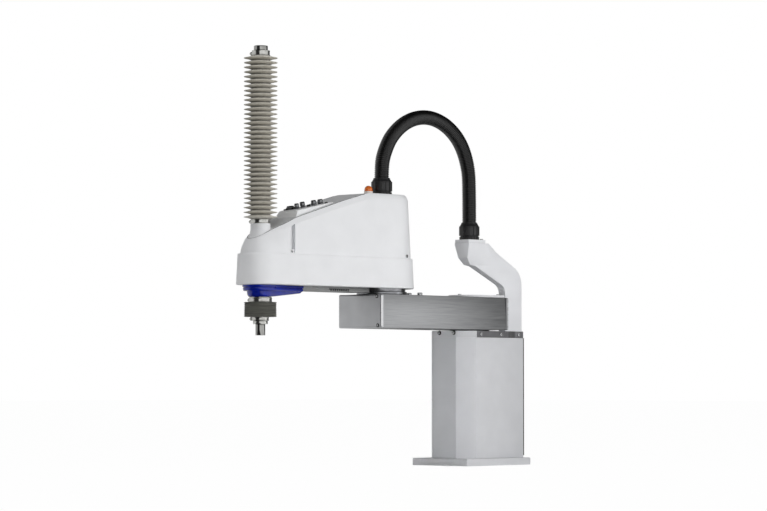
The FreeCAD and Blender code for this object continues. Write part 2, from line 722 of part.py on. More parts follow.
def beam_corners(inset, foot, top):
    """The first arm's cross-section, wider at the foot."""
    return [
        (f"-(beam_half_foot - {inset})", foot),
        (f"beam_half_foot - {inset}", foot),
        (f"beam_half_top - {inset}", top),
        (f"-(beam_half_top - {inset})", top),
    ]


def make_beam():
    body = body_of("arm_1_beam")
    start = "-(beam_rear - end_cap_thick)"
    long = "(beam_rear + first_reach + beam_front - 2 * end_cap_thick)"
    pad(body, sketch_on(body, "YZ_Plane", beam_corners("0", ARM_FOOT, ARM_TOP), start), long)
    doc.recompute()
    hollow = sketch_on(
        body,
        "YZ_Plane",
        beam_corners("beam_wall", f"{ARM_FOOT} + beam_wall", f"{ARM_TOP} - beam_wall"),
        start,
    )
    pocket(body, hollow, long, turned=True)
    return body


def make_end_cap(name, start, outward):
    """An end cap whose two outer upright corners are rounded."""
    body = body_of(name)
    outline = sketch_on(body, "YZ_Plane", beam_corners("0", ARM_FOOT, ARM_TOP), start)
    plate = pad(body, outline, "end_cap_thick")
    doc.recompute()
    middle = plate.Shape.BoundBox.Center.x
    fillet = body.newObject("PartDesign::Fillet", name + "_corners")
    upright = [
        f"Edge{i}"
        for i, edge in enumerate(plate.Shape.Edges, 1)
        if abs(edge.tangentAt(edge.FirstParameter).z) > 0.9
        and (edge.CenterOfMass.x - middle) * outward > 0
    ]
    fillet.Base = (plate, upright)
    fillet.setExpression("Radius", linked("cap_corner"))
    return body


def side_at(height):
    """Half width of the first arm at a height above its foot."""
    return f"(beam_half_foot - (beam_half_foot - beam_half_top) * ({height}) / beam_tall)"


def make_arm_1_screws():
    """Two screws at the left side of each end cap, and the screws of the white cover."""
    parts = []
    ends = (("front", "first_reach + beam_front", 1), ("rear", "-beam_rear", -1))
    for end, x, outward in ends:
        for level, height in (("low", "cap_screw_edge"), ("high", "beam_tall - cap_screw_edge")):
            parts.append(
                screw(
                    f"cap_screw_{end}_{level}", x, f"{side_at(height)} - cap_screw_side",
                    f"{ARM_FOOT} + {height}", (outward, 0, 0), "cap_screw_dia", "cap_screw_tall",
                )
            )
    for i, (x, y) in enumerate((("40", "0"), ("-60", "52"), ("-60", "-52"))):
        parts.append(screw(f"hub_screw_{i}", x, y, f"{ARM_TOP} + hub_cover_thick", (0, 0, 1)))
    return group("arm_1_screws", parts)


def make_hub_cover():
    """White cover over the first axis: round in front, square behind."""
    r, rear, half = num("hub_cover_dia / 2"), num("hub_cover_rear"), num("hub_cover_half_rear")
    z = num(ARM_TOP)
    lead = math.atan2(half, rear)
    turn = math.acos(r / math.hypot(rear, half))
    touch = math.pi - lead - turn
    a = Vector(r * math.cos(touch), r * math.sin(touch), z)
    b = Vector(a.x, -a.y, z)
    c, d = Vector(-rear, -half, z), Vector(-rear, half, z)
    edges = [
        Part.Arc(b, Vector(r, 0, z), a).toShape(),
        Part.LineSegment(a, d).toShape(),
        Part.LineSegment(d, c).toShape(),
        Part.LineSegment(c, b).toShape(),
    ]
    plate = Part.Face(Part.Wire(edges)).extrude(Vector(0, 0, num("hub_cover_thick")))
    return shaped("hub_cover", plate)


def hull_face(x0, r0, x1, r1, z):
    """The flat outline round two circles, joined by their outer tangents."""
    lean = math.asin((r0 - r1) / (x1 - x0))
    up, out = math.cos(lean), math.sin(lean)
    a0, b0 = Vector(x0 + r0 * out, r0 * up, z), Vector(x0 + r0 * out, -r0 * up, z)
    a1, b1 = Vector(x1 + r1 * out, r1 * up, z), Vector(x1 + r1 * out, -r1 * up, z)
    return Part.Wire(
        [
            Part.LineSegment(a0, a1).toShape(),
            Part.Arc(a1, Vector(x1 + r1, 0, z), b1).toShape(),
            Part.LineSegment(b1, b0).toShape(),
            Part.Arc(b0, Vector(x0 - r0, 0, z), a0).toShape(),
        ]
    )


def hull_prism(x0, r0, x1, r1, z0, z1):
    return Part.Face(hull_face(x0, r0, x1, r1, z0)).extrude(Vector(0, 0, z1 - z0))


def hull_loft(levels):
    """A solid through outlines round the two axes, one for each (height, rear r, nose r)."""
    x0, x1 = num("first_reach"), num(SHAFT_X)
    return Part.makeLoft([hull_face(x0, r0, x1, r1, z) for z, r0, r1 in levels], True, True)


def round_bar(x, dia, z0, z1):
    return Part.makeCylinder(dia / 2, z1 - z0, Vector(x, 0, z0))


def make_housing():
    """The lower housing of the second arm, open at the top."""
    foot, top = num(HOUSING_FOOT), num(COVER_FOOT)
    wall, lean, floor = num("housing_wall"), num("housing_draft"), num("housing_floor")
    rear, nose = num("housing_rear_dia / 2"), num("housing_nose_dia / 2")
    outer = hull_loft([(foot, rear, nose), (top, rear - lean, nose - lean)])
    rear_inside, nose_inside = rear - lean - wall, nose - lean - wall
    inner = hull_loft([(z, rear_inside, nose_inside) for z in (foot + floor, top + 1)])
    solid = outer.cut(inner)
    solid = solid.cut(round_bar(num("first_reach"), num("elbow_drive_dia"), foot - 1, foot + floor + 1))
    solid = solid.cut(round_bar(num(SHAFT_X), num("nut_bearing_dia"), foot - 1, foot + floor + 1))
    return shaped("arm_2_housing", solid)


def cover_levels(inset, top):
    """Outline sizes of the upper cover at its foot, brow, crown and top."""
    foot, tall = num(COVER_FOOT), num("cover_tall")
    rear, lean = num("cover_rear_dia / 2"), num("cover_rear_lean")
    steps = [
        (0, "cover_nose_dia"),
        (num("cover_brow_tall"), "cover_brow_dia"),
        (num("cover_crown_tall"), "cover_crown_dia"),
    ]
    levels = [(foot + h, rear - lean * h / tall - inset, num(dia) / 2 - inset) for h, dia in steps]
    crown = num("cover_crown_dia / 2")
    return levels + [(top, rear - lean * (top - foot) / tall - inset, crown - inset)]


def cover_slope(inset):
    """Side view of the upper cover, lowered and set in by the wall."""
    foot = num(COVER_FOOT)
    rear = num("first_reach - cover_rear_dia") - MARGIN
    front = num(f"{SHAFT_X} + cover_nose_dia") + MARGIN
    drop = foot - inset
    return side_prism(
        [
            (rear, foot - 1), (front, foot - 1), (front, drop + num("slope_nose_tall")),
            (num(SLOPE_NOSE_X), drop + num("slope_nose_tall")),
            (num(SLOPE_MID_X), drop + num("slope_mid_tall")),
            (num(SLOPE_HIGH_X), drop + num("slope_high_tall")),
            (num(SLOPE_END_X), drop + num("cover_tall")), (rear, drop + num("cover_tall")),
        ],
        None,
        num("cover_rear_dia"),
    )


def make_cover():
    """The upper cover of the second arm with its sloping top and the bellows neck."""
    wall, top = num("cover_wall"), num(COVER_TOP) + 10
    outer = hull_loft(cover_levels(0, top)).common(cover_slope(0))
    inner = hull_loft(cover_levels(wall, top)).common(cover_slope(wall))
    x, neck, bore = num(SHAFT_X), num("neck_dia"), num("neck_bore_dia")
    root = num(COVER_FOOT) + num("slope_nose_tall") - 2 * wall
    spigot = num("upper_clamp_dia - 2 * clamp_band")
    solid = outer.cut(inner)
    solid = solid.fuse(round_bar(x, neck, root, num("neck_top")))
    solid = solid.fuse(round_bar(x, spigot, num("neck_top"), num(BELLOWS_FOOT)))
    solid = solid.cut(round_bar(x, bore, root - MARGIN, num(BELLOWS_FOOT) + MARGIN))
    low, high = num(COVER_TOP) - MARGIN, num(COVER_TOP) + MARGIN
    gland = round_bar(num("first_reach"), num("gland_bore_dia"), low, high)
    return shaped("arm_2_cover", solid.cut(gland).removeSplitter())


def slope_height(x):
    """Height of the sloping top at a place between its two breaks."""
    share = f"({SLOPE_MID_X} - ({x})) / ({SLOPE_MID_X} - {SLOPE_HIGH_X})"
    return f"({COVER_FOOT} + slope_mid_tall + (slope_high_tall - slope_mid_tall) * {share})"


def make_connector_panel():
    """A wedge on the sloping top that turns the connectors a little upwards."""
    front, rear = num(WEDGE_FRONT_X), num(WEDGE_REAR_X)
    points = [
        (front, num(slope_height(WEDGE_FRONT_X))), (front, num("wedge_front_top")),
        (rear, num("wedge_rear_top")), (rear, num(slope_height(WEDGE_REAR_X))),
    ]
    return shaped("connector_panel", side_prism(points, None, num("wedge_half_width")))


def wedge_place(share):
    """A place on the connector panel's top, from its front (0) to its rear (1)."""
    x = f"({WEDGE_FRONT_X} - {share} * ({WEDGE_FRONT_X} - {WEDGE_REAR_X}))"
    z = f"(wedge_front_top + {share} * (wedge_rear_top - wedge_front_top))"
    return x, z


def tilt():
    """The panel's slope, in degrees, which its connectors stand square to."""
    rise, run = "wedge_rear_top - wedge_front_top", f"{WEDGE_FRONT_X} - {WEDGE_REAR_X}"
    return math.degrees(math.atan2(num(rise), num(run)))


def on_wedge(piece, x, y, z):
    piece.Placement = Placement(Vector(0, 0, 0), Rotation(Vector(0, 1, 0), tilt()))
    for axis, text in zip("xyz", (x, y, z)):
        piece.setExpression(f"Placement.Base.{axis}", linked(text))
    return piece


def make_signal_sockets():
    """Sockets on the connector panel: one large, one small and two low caps."""
    parts = []
    for i, (share, side, deep, wide, tall) in enumerate(SOCKETS):
        x, z = wedge_place(share)
        piece = doc.addObject("Part::Box", f"signal_socket_{i}")
        piece.Length, piece.Width, piece.Height = deep, wide, tall
        parts.append(on_wedge(piece, x, f"{side - wide / 2}", z))
    return group("signal_sockets", parts)


def make_air_fittings():
    parts = []
    for i, (share, side) in enumerate(FITTINGS):
        x, z = wedge_place(share)
        piece = bound(
            "Part::Cylinder", f"air_fitting_{i}",
            {"Radius": "fitting_dia / 2", "Height": "fitting_tall"},
        )
        parts.append(on_wedge(piece, x, str(side), z))
    return group("air_fittings", parts)


def make_lamp():
    x = "(first_reach + lamp_back)"
    cylinder("lamp_base", "lamp_dia", "lamp_base_tall", x, z=COVER_TOP)
    foot = f"({COVER_TOP} + lamp_base_tall)"
    middle = (x, "0", f"{foot} + lamp_dome_tall")
    ball = bound("Part::Sphere", "lamp_ball", {"Radius": "lamp_dia / 2 - 1"}, middle)
    bar = cylinder("lamp_bar", "lamp_dia - 2", "lamp_dia", x, z=foot)
    dome = doc.addObject("Part::MultiCommon", "lamp_dome")
    straight = cylinder("lamp_straight", "lamp_dia - 2", "lamp_dome_tall", x, z=foot)
    dome.Shapes = [bar, fused("lamp_solid", [ball, straight])]
    return dome


def make_vent_cover():
    """A tray under the second arm, with a slanted front and slots in its sides."""
    x0, x1 = num("first_reach + vent_start"), num("first_reach + vent_end")
    top, tall, wall = num(HOUSING_FOOT), num("vent_tall"), num("vent_wall")
    ramp, half = num("vent_ramp"), num("vent_half_width")
    outer = side_prism([(x0, top - tall), (x1 - ramp, top - tall), (x1, top), (x0, top)], None, half)
    inner = side_prism(
        [(x0 + wall, top - tall + wall), (x1 - ramp - wall, top - tall + wall),
         (x1 - 3 * wall, top + 1), (x0 + wall, top + 1)],
        None,
        half - wall,
    )
    tray = outer.cut(inner)
    wide, height = num("slot_wide"), num("slot_tall")
    for i in range(int(num("slot_count"))):
        x = num("first_reach + slot_first") + i * num("slot_pitch")
        corner = Vector(x - wide / 2, -half - 1, top - tall / 2 - height / 2)
        tray = tray.cut(Part.makeBox(wide, 2 * half + 2, height, corner))
    return shaped("vent_cover", tray)


def make_boot():
    """The blue cover under the shaft: a flange, a body and a tail that rises to the rear."""
    x, top, tall = num(SHAFT_X), num(HOUSING_FOOT), num("boot_tall")
    tail, wall, rise = num("boot_tail"), num("boot_wall"), num("boot_rise")
    flange, body, end = (num(f"{part}_dia / 2") for part in ("boot_flange", "boot_body", "boot_tail"))
    lip = num("boot_flange_tall")
    foot = top - tall
    outer = hull_prism(x - tail, end, x, body, foot, top)
    under = side_prism(
        [(x - body, foot - 1), (x - body, foot), (x - tail - end - 1, foot + rise),
         (x - tail - end - 1, foot - 1)],
        None,
        2 * flange,
    )
    outer = outer.cut(under).fuse(hull_prism(x - tail, end + 3, x, flange, top - lip, top))
    hollow = hull_prism(x - tail, end - wall, x, body - wall, foot + rise + wall, top + 1)
    bore = round_bar(x, num("boot_bore_dia"), foot - 1, top + 1)
    return shaped("shaft_cover", outer.cut(hollow).cut(bore).removeSplitter())


def bellows_shape(foot, top, dia, wall):
    """Folds between root and crest, closed by a flat lip at each end."""
    root, crest, count = num("bellows_root_dia / 2"), dia / 2, int(num("fold_count"))
    pitch = (top - foot) / count
    lip = root - 4
    outer = [Vector(root, 0, foot)]
    for i in range(count):
        outer.append(Vector(crest, 0, foot + (i + 0.5) * pitch))
        outer.append(Vector(root, 0, foot + (i + 1) * pitch))
    if wall:
        inner = [Vector(p.x - wall * (3 if p.x > root else 1), 0, p.z) for p in outer[1:-1]]
        ends = [Vector(lip, 0, top), Vector(lip, 0, top - wall), Vector(root - wall, 0, top - wall)]
        starts = [Vector(root - wall, 0, foot + wall), Vector(lip, 0, foot + wall), Vector(lip, 0, foot)]
        points = outer + ends + list(reversed(inner)) + starts
    else:
        points = outer + [Vector(lip, 0, top), Vector(lip, 0, foot)]
    loop = Part.makePolygon(points + [points[0]])
    return Part.Face(loop).revolve(Vector(0, 0, 0), Vector(0, 0, 1), 360)


def make_bellows(name, foot, top, dia, wall):
    piece = shaped(name, bellows_shape(num(foot), num(top), num(dia), num(wall)))
    piece.setExpression("Placement.Base.x", linked(SHAFT_X))
    return piece


def make_clamp(name, outer, tall, z):
    """A band clamp with the housing of its screw on one side."""
    inner = f"({outer} - 2 * clamp_band)"
    ear = block(
        name + "_ear", "ear_wide", "ear_long", f"({tall}) - 2",
        SHAFT_X, f"-({outer} / 2 + ear_long / 2 - clamp_band)", f"({z}) + 1",
    )
    whole = fused(name + "_solid", [cylinder(name + "_band", outer, tall, SHAFT_X, z=z), ear])
    return cut(name, whole, cylinder(name + "_bore", inner, f"({tall}) + 2", SHAFT_X, z=f"({z}) - 1"))


def make_bellows_set():
    through = "(shaft_dia + 2 * run_gap)"
    make_clamp("upper_bellows_foot_clamp", "upper_clamp_dia", "upper_clamp_tall", "neck_top")
    make_bellows("upper_bellows", BELLOWS_FOOT, BELLOWS_TOP, "bellows_dia", "bellows_wall")
    make_clamp("upper_bellows_head_clamp", "head_clamp_dia", "head_clamp_tall", BELLOWS_TOP)
    inside = "(head_clamp_dia - 2 * clamp_band)"
    ring("head_collar", inside, through, "head_clamp_tall", SHAFT_X, BELLOWS_TOP)
    seat = "(seat_clamp_dia - 2 * clamp_band)"
    ring("lower_bellows_seat", seat, "boot_bore_dia", "seat_drop", SHAFT_X, SEAT_FOOT)
    make_clamp("lower_bellows_head_clamp", "seat_clamp_dia", "seat_clamp_tall", SEAT_FOOT)
    make_bellows("lower_bellows", LOW_BELLOWS_FOOT, SEAT_FOOT, "lower_bellows_dia", "0")
    make_clamp("lower_bellows_foot_clamp", "foot_clamp_dia", "foot_clamp_tall", FOOT_CLAMP_FOOT)
    inside = "(foot_clamp_dia - 2 * clamp_band)"
    ring("foot_collar", inside, through, "foot_clamp_tall", SHAFT_X, FOOT_CLAMP_FOOT)


def make_shaft():
    foot = f"({FOOT_CLAMP_FOOT} - run_gap - shaft_collar_tall)"
    solid = fused(
        "shaft_solid",
        [
            cylinder("shaft_tip", "shaft_tip_dia", f"{foot} - shaft_foot", SHAFT_X, z="shaft_foot"),
            cylinder("shaft_bar", "shaft_dia", f"{SHAFT_TOP} - {foot}", SHAFT_X, z=foot),
        ],
    )
    tall = f"{SHAFT_TOP} - shaft_foot + 2"
    bore = cylinder("shaft_bore", "shaft_bore_dia", tall, SHAFT_X, z="shaft_foot - 1")
    cut("ball_screw_shaft", solid, bore)
    cap_foot = f"({CLAMP_TOP} + run_gap)"
    solid = cylinder("top_cap_solid", "top_cap_dia", "top_cap_tall", SHAFT_X, z=cap_foot)
    socket = cylinder("top_cap_socket", "shaft_dia", "cap_grip + 1", SHAFT_X, z=f"{cap_foot} - 1")
    cut("top_cap", solid, socket)
    ring("shaft_collar", "shaft_collar_dia", "shaft_dia", "shaft_collar_tall", SHAFT_X, foot)


def make_nut(name, pulley_z, bearing_z):
    """A nut that turns on the shaft, with its belt pulley, from its bearing to the pulley's top."""
    low = f"min({pulley_z}; {bearing_z})"
    high = f"max({pulley_z} + pulley_tall; {bearing_z} + nut_bearing_tall)"
    solid = fused(
        name + "_solid",
        [
            cylinder(name + "_barrel", "nut_dia", f"{high} - {low}", SHAFT_X, z=low),
            cylinder(name + "_wheel", "nut_pulley_dia", "pulley_tall", SHAFT_X, z=pulley_z),
        ],
    )
    bore = cylinder(
        name + "_bore", "shaft_dia + 2 * run_gap", f"{high} - {low} + 2", SHAFT_X, z=f"{low} - 1"
    )
    return cut(name, solid, bore)


def make_motor_pulley(name, back, z):
    """A motor's pulley with the end of its shaft, which reaches up into the motor's foot."""
    x = f"({SHAFT_X} - {back})"
    return fused(
        name,
        [
            cylinder(name + "_wheel", "motor_pulley_dia", "pulley_tall", x, z=z),
            cylinder(name + "_shaft", "motor_shaft_dia", f"{FRAME_TOP} - run_gap - ({z})", x, z=z),
        ],
    )


def make_belt(name, back, z):
    """A belt round a nut's pulley and a motor's pulley, just clear of both."""
    x0, x1, gap = num(f"{SHAFT_X} - {back}"), num(SHAFT_X), num("run_gap")
    small, large = num("motor_pulley_dia / 2") + gap, num("nut_pulley_dia / 2") + gap
    thick = num("belt_thick")
    foot = num(f"{z} + (pulley_tall - belt_wide) / 2")
    top = foot + num("belt_wide")
    outer = hull_prism(x0, small + thick, x1, large + thick, foot, top)
    return shaped(name, outer.cut(hull_prism(x0, small, x1, large, foot - 1, top + 1)))


def make_drive_frame():
    """A plate on four posts that carries both motors and the ball nut's bearing."""
    x, foot, top = num(SHAFT_X), num(FRAME_FOOT), num(FRAME_TOP)
    rear, half = x - num("frame_rear"), num("frame_half_width")
    nose = num("nut_bearing_dia / 2") + 6
    plate = side_prism([(rear, foot), (x, foot), (x, top), (rear, top)], None, half)
    plate = plate.fuse(round_bar(x, 2 * nose, foot, top))
    floor = num(f"{HOUSING_FOOT} + housing_floor")
    post = num("post_dia / 2")
    hole = num("motor_shaft_dia") + 2
    for place in (rear + 2 * post, x - num("u_motor_back") - num("u_motor_wide / 2") + post):
        for side in (1, -1):
            middle = Vector(place, side * (half + post / 2), floor)
            plate = plate.fuse(Part.makeCylinder(post, top - floor, middle))
    plate = plate.cut(round_bar(x, num("nut_bearing_dia"), foot - 1, top + 1))
    for back in ("z_motor_back", "u_motor_back"):
        plate = plate.cut(round_bar(x - num(back), hole, foot - 1, top + 1))
    return shaped("drive_frame", plate.removeSplitter())


def make_second_drive():
    """Gear unit and motor of the second axis, in the second arm, on the first arm's flange."""
    ring_z = ARM_TOP
    cylinder("elbow_lower_flange", "elbow_flange_dia", "elbow_flange_tall", "first_reach", z=ring_z)
    foot = f"({ARM_TOP} + elbow_flange_tall + run_gap)"
    cylinder("elbow_gear_unit", "elbow_drive_dia", "elbow_drive_tall", "first_reach", z=foot)
    block(
        "elbow_motor", "elbow_motor_wide", "elbow_motor_wide", "elbow_motor_tall",
        "first_reach", "0", f"{foot} + elbow_drive_tall",
    )


def make_arm_2_inside():
    seat = f"({HOUSING_FOOT})"
    bore = "(nut_dia + 2 * run_gap)"
    ring("spline_nut_bearing", "nut_bearing_dia", bore, "nut_bearing_tall", SHAFT_X, seat)
    ring("ball_nut_bearing", "nut_bearing_dia", bore, "nut_bearing_tall", SHAFT_X, FRAME_FOOT)
    make_nut("spline_nut", SPLINE_Z, seat)
    make_nut("ball_nut", BALL_Z, FRAME_FOOT)
    make_motor_pulley("u_motor_pulley", "u_motor_back", SPLINE_Z)
    make_motor_pulley("z_motor_pulley", "z_motor_back", BALL_Z)
    make_belt("u_belt", "u_motor_back", SPLINE_Z)
    make_belt("z_belt", "z_motor_back", BALL_Z)
    make_drive_frame()
    for name in ("z_motor", "u_motor"):
        wide = f"{name}_wide"
        block(name, wide, wide, f"{name}_tall", f"{SHAFT_X} - {name}_back", "0", FRAME_TOP)
    block(
        "circuit_board", "board_thick", "2 * board_half_width", "board_tall",
        "first_reach + board_back", "0", f"{HOUSING_FOOT} + housing_floor",
    )


def make_stop_bolts():
    return group(
        "elbow_stop_bolts",
        [
            cylinder(
                f"elbow_stop_{i}", "stop_dia", "stop_tall",
                "first_reach - stop_back", f"{s} * stop_half_pitch", ARM_TOP,
            )
            for i, s in enumerate((1, -1))
        ],
    )


def make_cover_screws():
    """A screw on each side of the upper cover's round rear."""
    z = f"({COVER_FOOT} + cover_screw_up)"
    lean = "cover_rear_lean * cover_screw_up / cover_tall"
    reach = num(f"cover_rear_dia / 2 - {lean} + cover_screw_gap")
    parts = []
    for side in (1, -1):
        angle = math.radians(num("cover_screw_turn")) * side
        out = Vector(math.cos(angle), math.sin(angle), 0)
        name = f"cover_screw_{'left' if side > 0 else 'right'}"
        piece = cylinder(name, "screw_head_dia", "cover_screw_tall")
        piece.Placement = Placement(
            Vector(num("first_reach"), 0, num(z)) + out * reach, Rotation(Vector(0, 0, 1), out)
        )
        for axis in "xyz":
            piece.setExpression(f"Placement.Base.{axis}", None)
        parts.append(piece)
    return group("cover_screws", parts)


def make_hose():
    """The corrugated hose as a plain tube: straight runs joined by arcs as large as they allow."""
    points = [Vector(x, 0, z) for x, z in HOSE_ROUTE]
    runs = [b - a for a, b in zip(points, points[1:])]
    edges, last, radii = [], points[0], []
    for i in range(1, len(points) - 1):
        before, after = runs[i - 1], runs[i]
        turn = before.getAngle(after)
        reach = 0.45 * min(before.Length, after.Length)
        radii.append(reach / math.tan(turn / 2))
        back, ahead = Vector(before).normalize(), Vector(after).normalize()
        start, end = points[i] - back * reach, points[i] + ahead * reach
        inward = (ahead - back).normalize()
        middle = points[i] + inward * (radii[-1] / math.cos(turn / 2) - radii[-1])
        edges.append(Part.LineSegment(last, start).toShape())
        edges.append(Part.Arc(start, middle, end).toShape())
        last = end
    edges.append(Part.LineSegment(last, points[-1]).toShape())
    path = Part.Wire(edges)
    first = Vector(runs[0]).normalize()
    section = Part.Wire(Part.makeCircle(num("hose_dia / 2"), points[0], first))
    tube = path.makePipeShell([section], True, False)
    expected = math.pi * num("hose_dia / 2") ** 2 * path.Length
    print("hose radii", [round(r) for r in radii], "length", round(path.Length))
    print("hose volume against section times length", round(tube.Volume / expected, 4))
    return shaped("conduit_hose", tube)


make_base_plate()
make_column_shell()
make_top_flange()
make_flange_strips()
make_base_screws()
make_flange_bolts()
make_rear_panel()
make_rear_sockets()
make_duct_body()
make_duct_lid()
make_gland("base_gland", "0", LID_TOP)
make_first_drive()
make_beam()
make_end_cap("arm_1_rear_cap", "-beam_rear", -1)
make_end_cap("arm_1_front_cap", "first_reach + beam_front - end_cap_thick", 1)
make_arm_1_screws()
make_hub_cover()
make_stop_bolts()
make_hose()
make_second_drive()
make_housing()
make_cover()
make_connector_panel()
make_signal_sockets()
make_air_fittings()
make_lamp()
make_gland("arm_2_gland", "first_reach", COVER_TOP)
make_vent_cover()
make_boot()
make_cover_screws()
make_arm_2_inside()
make_bellows_set()
make_shaft()

NODES = {
    "base": "base_plate column_shell top_flange flange_strips base_screws flange_bolts rear_panel "
    "rear_sockets duct_body duct_lid base_gland first_gear_unit first_motor",
    "arm_1": "first_output_flange arm_1_beam arm_1_rear_cap arm_1_front_cap arm_1_screws hub_cover "
    "elbow_stop_bolts elbow_lower_flange conduit_hose",
    "arm_2": "elbow_gear_unit elbow_motor arm_2_housing arm_2_cover connector_panel signal_sockets "
    "air_fittings lamp_base lamp_dome arm_2_gland vent_cover shaft_cover cover_screws "
    "spline_nut_bearing ball_nut_bearing u_belt z_belt drive_frame z_motor u_motor circuit_board "
    "upper_bellows_foot_clamp upper_bellows lower_bellows_seat lower_bellows_head_clamp lower_bellows",
    "quill": "upper_bellows_head_clamp head_collar lower_bellows_foot_clamp foot_collar",
    "shaft": "ball_screw_shaft top_cap shaft_collar",
    "pulleys": "spline_nut ball_nut u_motor_pulley z_motor_pulley",
}


def write_parts():
    """Every object is sound, and each node's shape goes to its own file."""
    doc.recompute()
    faults = [o.Name for o in doc.Objects if {"Invalid", "Error"} & set(o.State)]
    if faults:
        raise RuntimeError(f"not computed: {faults}")
    os.makedirs("parts", exist_ok=True)
    for names in NODES.values():
        for name in names.split():
            piece = doc.getObject(name)
            piece.Label = name
            shape = piece.Shape
            if shape.isNull() or not shape.isValid() or not shape.Solids:
                raise RuntimeError(f"{name} has no sound solid")
            shape.exportStep(f"parts/{name}.step")


write_parts()
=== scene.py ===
import contextlib
import json
import math
import random

import bmesh
import bpy
from mathutils import Matrix, Vector


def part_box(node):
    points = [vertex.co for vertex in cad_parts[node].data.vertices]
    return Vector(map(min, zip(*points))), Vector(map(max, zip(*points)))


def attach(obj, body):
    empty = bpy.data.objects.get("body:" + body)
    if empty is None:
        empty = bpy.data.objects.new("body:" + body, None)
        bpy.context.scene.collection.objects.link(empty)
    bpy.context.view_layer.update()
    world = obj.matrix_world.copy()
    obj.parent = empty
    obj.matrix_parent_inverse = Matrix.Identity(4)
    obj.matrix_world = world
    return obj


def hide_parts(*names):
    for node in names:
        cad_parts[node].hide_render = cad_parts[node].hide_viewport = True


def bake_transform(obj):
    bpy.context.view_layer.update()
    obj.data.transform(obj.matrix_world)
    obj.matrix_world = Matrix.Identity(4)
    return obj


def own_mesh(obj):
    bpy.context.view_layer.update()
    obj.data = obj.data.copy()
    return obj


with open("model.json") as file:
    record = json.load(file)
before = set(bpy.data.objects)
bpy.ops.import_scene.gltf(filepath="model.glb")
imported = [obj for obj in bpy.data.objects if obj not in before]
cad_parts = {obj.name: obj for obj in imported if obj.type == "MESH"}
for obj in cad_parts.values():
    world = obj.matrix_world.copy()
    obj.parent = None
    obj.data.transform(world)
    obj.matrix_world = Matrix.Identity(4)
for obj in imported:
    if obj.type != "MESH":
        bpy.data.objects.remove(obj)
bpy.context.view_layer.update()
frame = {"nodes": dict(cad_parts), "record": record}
NODES = frame["nodes"]
MM = 0.001

# The two swing axes and the shaft axis stand on the X axis, in millimetres.
SHOULDER_X, ELBOW_X, SHAFT_X = 0, 350, 800


def box_mm(node):
    """A CAD node's lowest and highest corners, in millimetres."""
    low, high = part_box(node)
    return low / MM, high / MM


# Nodes and materials

def linear(hex_colour):
    """An sRGB hex value as linear RGBA."""
    parts = [int(hex_colour[i : i + 2], 16) / 255 for i in (1, 3, 5)]
    return [c / 12.92 if c <= 0.04045 else ((c + 0.055) / 1.055) ** 2.4 for c in parts] + [1]


def add(tree, kind, links=None, **settings):
    """One node with its settings; links maps an input's name or number to an output socket or a value."""
    node = tree.nodes.new(kind)
    for name, value in settings.items():
        setattr(node, name, value)
    for name, value in (links or {}).items():
        socket = node.inputs[name]
        if isinstance(value, bpy.types.NodeSocket):
            tree.links.new(value, socket)
        else:
            socket.default_value = value
    return node


def maths(tree, operation, *values):
    return add(tree, "ShaderNodeMath", dict(enumerate(values)), operation=operation).outputs["Value"]


def ranged(tree, value, before, after=(0.0, 1.0)):
    """A value moved from one range to another."""
    links = {"From Min": before[0], "From Max": before[1], "To Min": after[0], "To Max": after[1]}
    return add(tree, "ShaderNodeMapRange", {"Value": value, **links}).outputs["Result"]


def mixed(tree, share, a, b):
    """A number between two others."""
    return add(tree, "ShaderNodeMix", {"Factor": share, 2: a, 3: b}, data_type="FLOAT").outputs[0]


def surface(name, colour, roughness, metallic=0.0, **sockets):
    """A material's tree and its shader, with plain values on the shader's own sockets."""
    material = bpy.data.materials.new(name)
    material.use_nodes = True
    tree = material.node_tree
    shader = next(n for n in tree.nodes if n.type == "BSDF_PRINCIPLED")
    values = {"Base Color": linear(colour), "Roughness": roughness, "Metallic": metallic, **sockets}
    for key, value in values.items():
        shader.inputs[key.replace("_", " ")].default_value = value
    return material, tree, shader


NOISE_RANGE = (0.3, 0.7)  # the noise seldom leaves it


def object_noise(tree, size_mm, detail=3.0, stretch=(1, 1, 1), attribute=None):
    """Noise on Object coordinates, or on a mesh's own attribute, whose grains are about size_mm wide."""
    if attribute:
        place = add(tree, "ShaderNodeAttribute", attribute_name=attribute).outputs["Vector"]
    else:
        place = add(tree, "ShaderNodeTexCoord").outputs["Object"]
    scale = [1 / (size_mm * MM * s) for s in stretch]
    place = add(tree, "ShaderNodeMapping", {"Vector": place, "Scale": scale}).outputs["Vector"]
    return add(tree, "ShaderNodeTexNoise", {"Vector": place, "Scale": 1.0, "Detail": detail}).outputs["Fac"]


def tint(tree, shader, value, dark, light):
    """Base colour between two hex values, by a pattern."""
    ramp = add(tree, "ShaderNodeValToRGB", {"Fac": value})
    for stop, place, colour in zip(ramp.color_ramp.elements, NOISE_RANGE, (dark, light)):
        stop.position = place
        stop.color = linear(colour)
    tree.links.new(ramp.outputs["Color"], shader.inputs["Base Color"])


def bump(tree, shader, value, height_mm, strength):
    node = add(tree, "ShaderNodeBump", {"Height": value, "Distance": height_mm * MM, "Strength": strength})
    tree.links.new(node.outputs["Normal"], shader.inputs["Normal"])


def rough(tree, shader, value, low, high):
    tree.links.new(ranged(tree, value, NOISE_RANGE, (low, high)), shader.inputs["Roughness"])


def patterned(name, colours, gloss, grain, blotch=None, dents=None, metallic=0.0, **sockets):
    """A material whose roughness and bump follow its grain, and its colour its blotches or its grain."""
    material, tree, shader = surface(name, colours[1], gloss[0], metallic, **sockets)
    fine = object_noise(tree, *grain)
    tint(tree, shader, object_noise(tree, *blotch) if blotch else fine, *colours)
    rough(tree, shader, fine, *gloss)
    if dents:
        bump(tree, shader, fine, *dents)
    return material


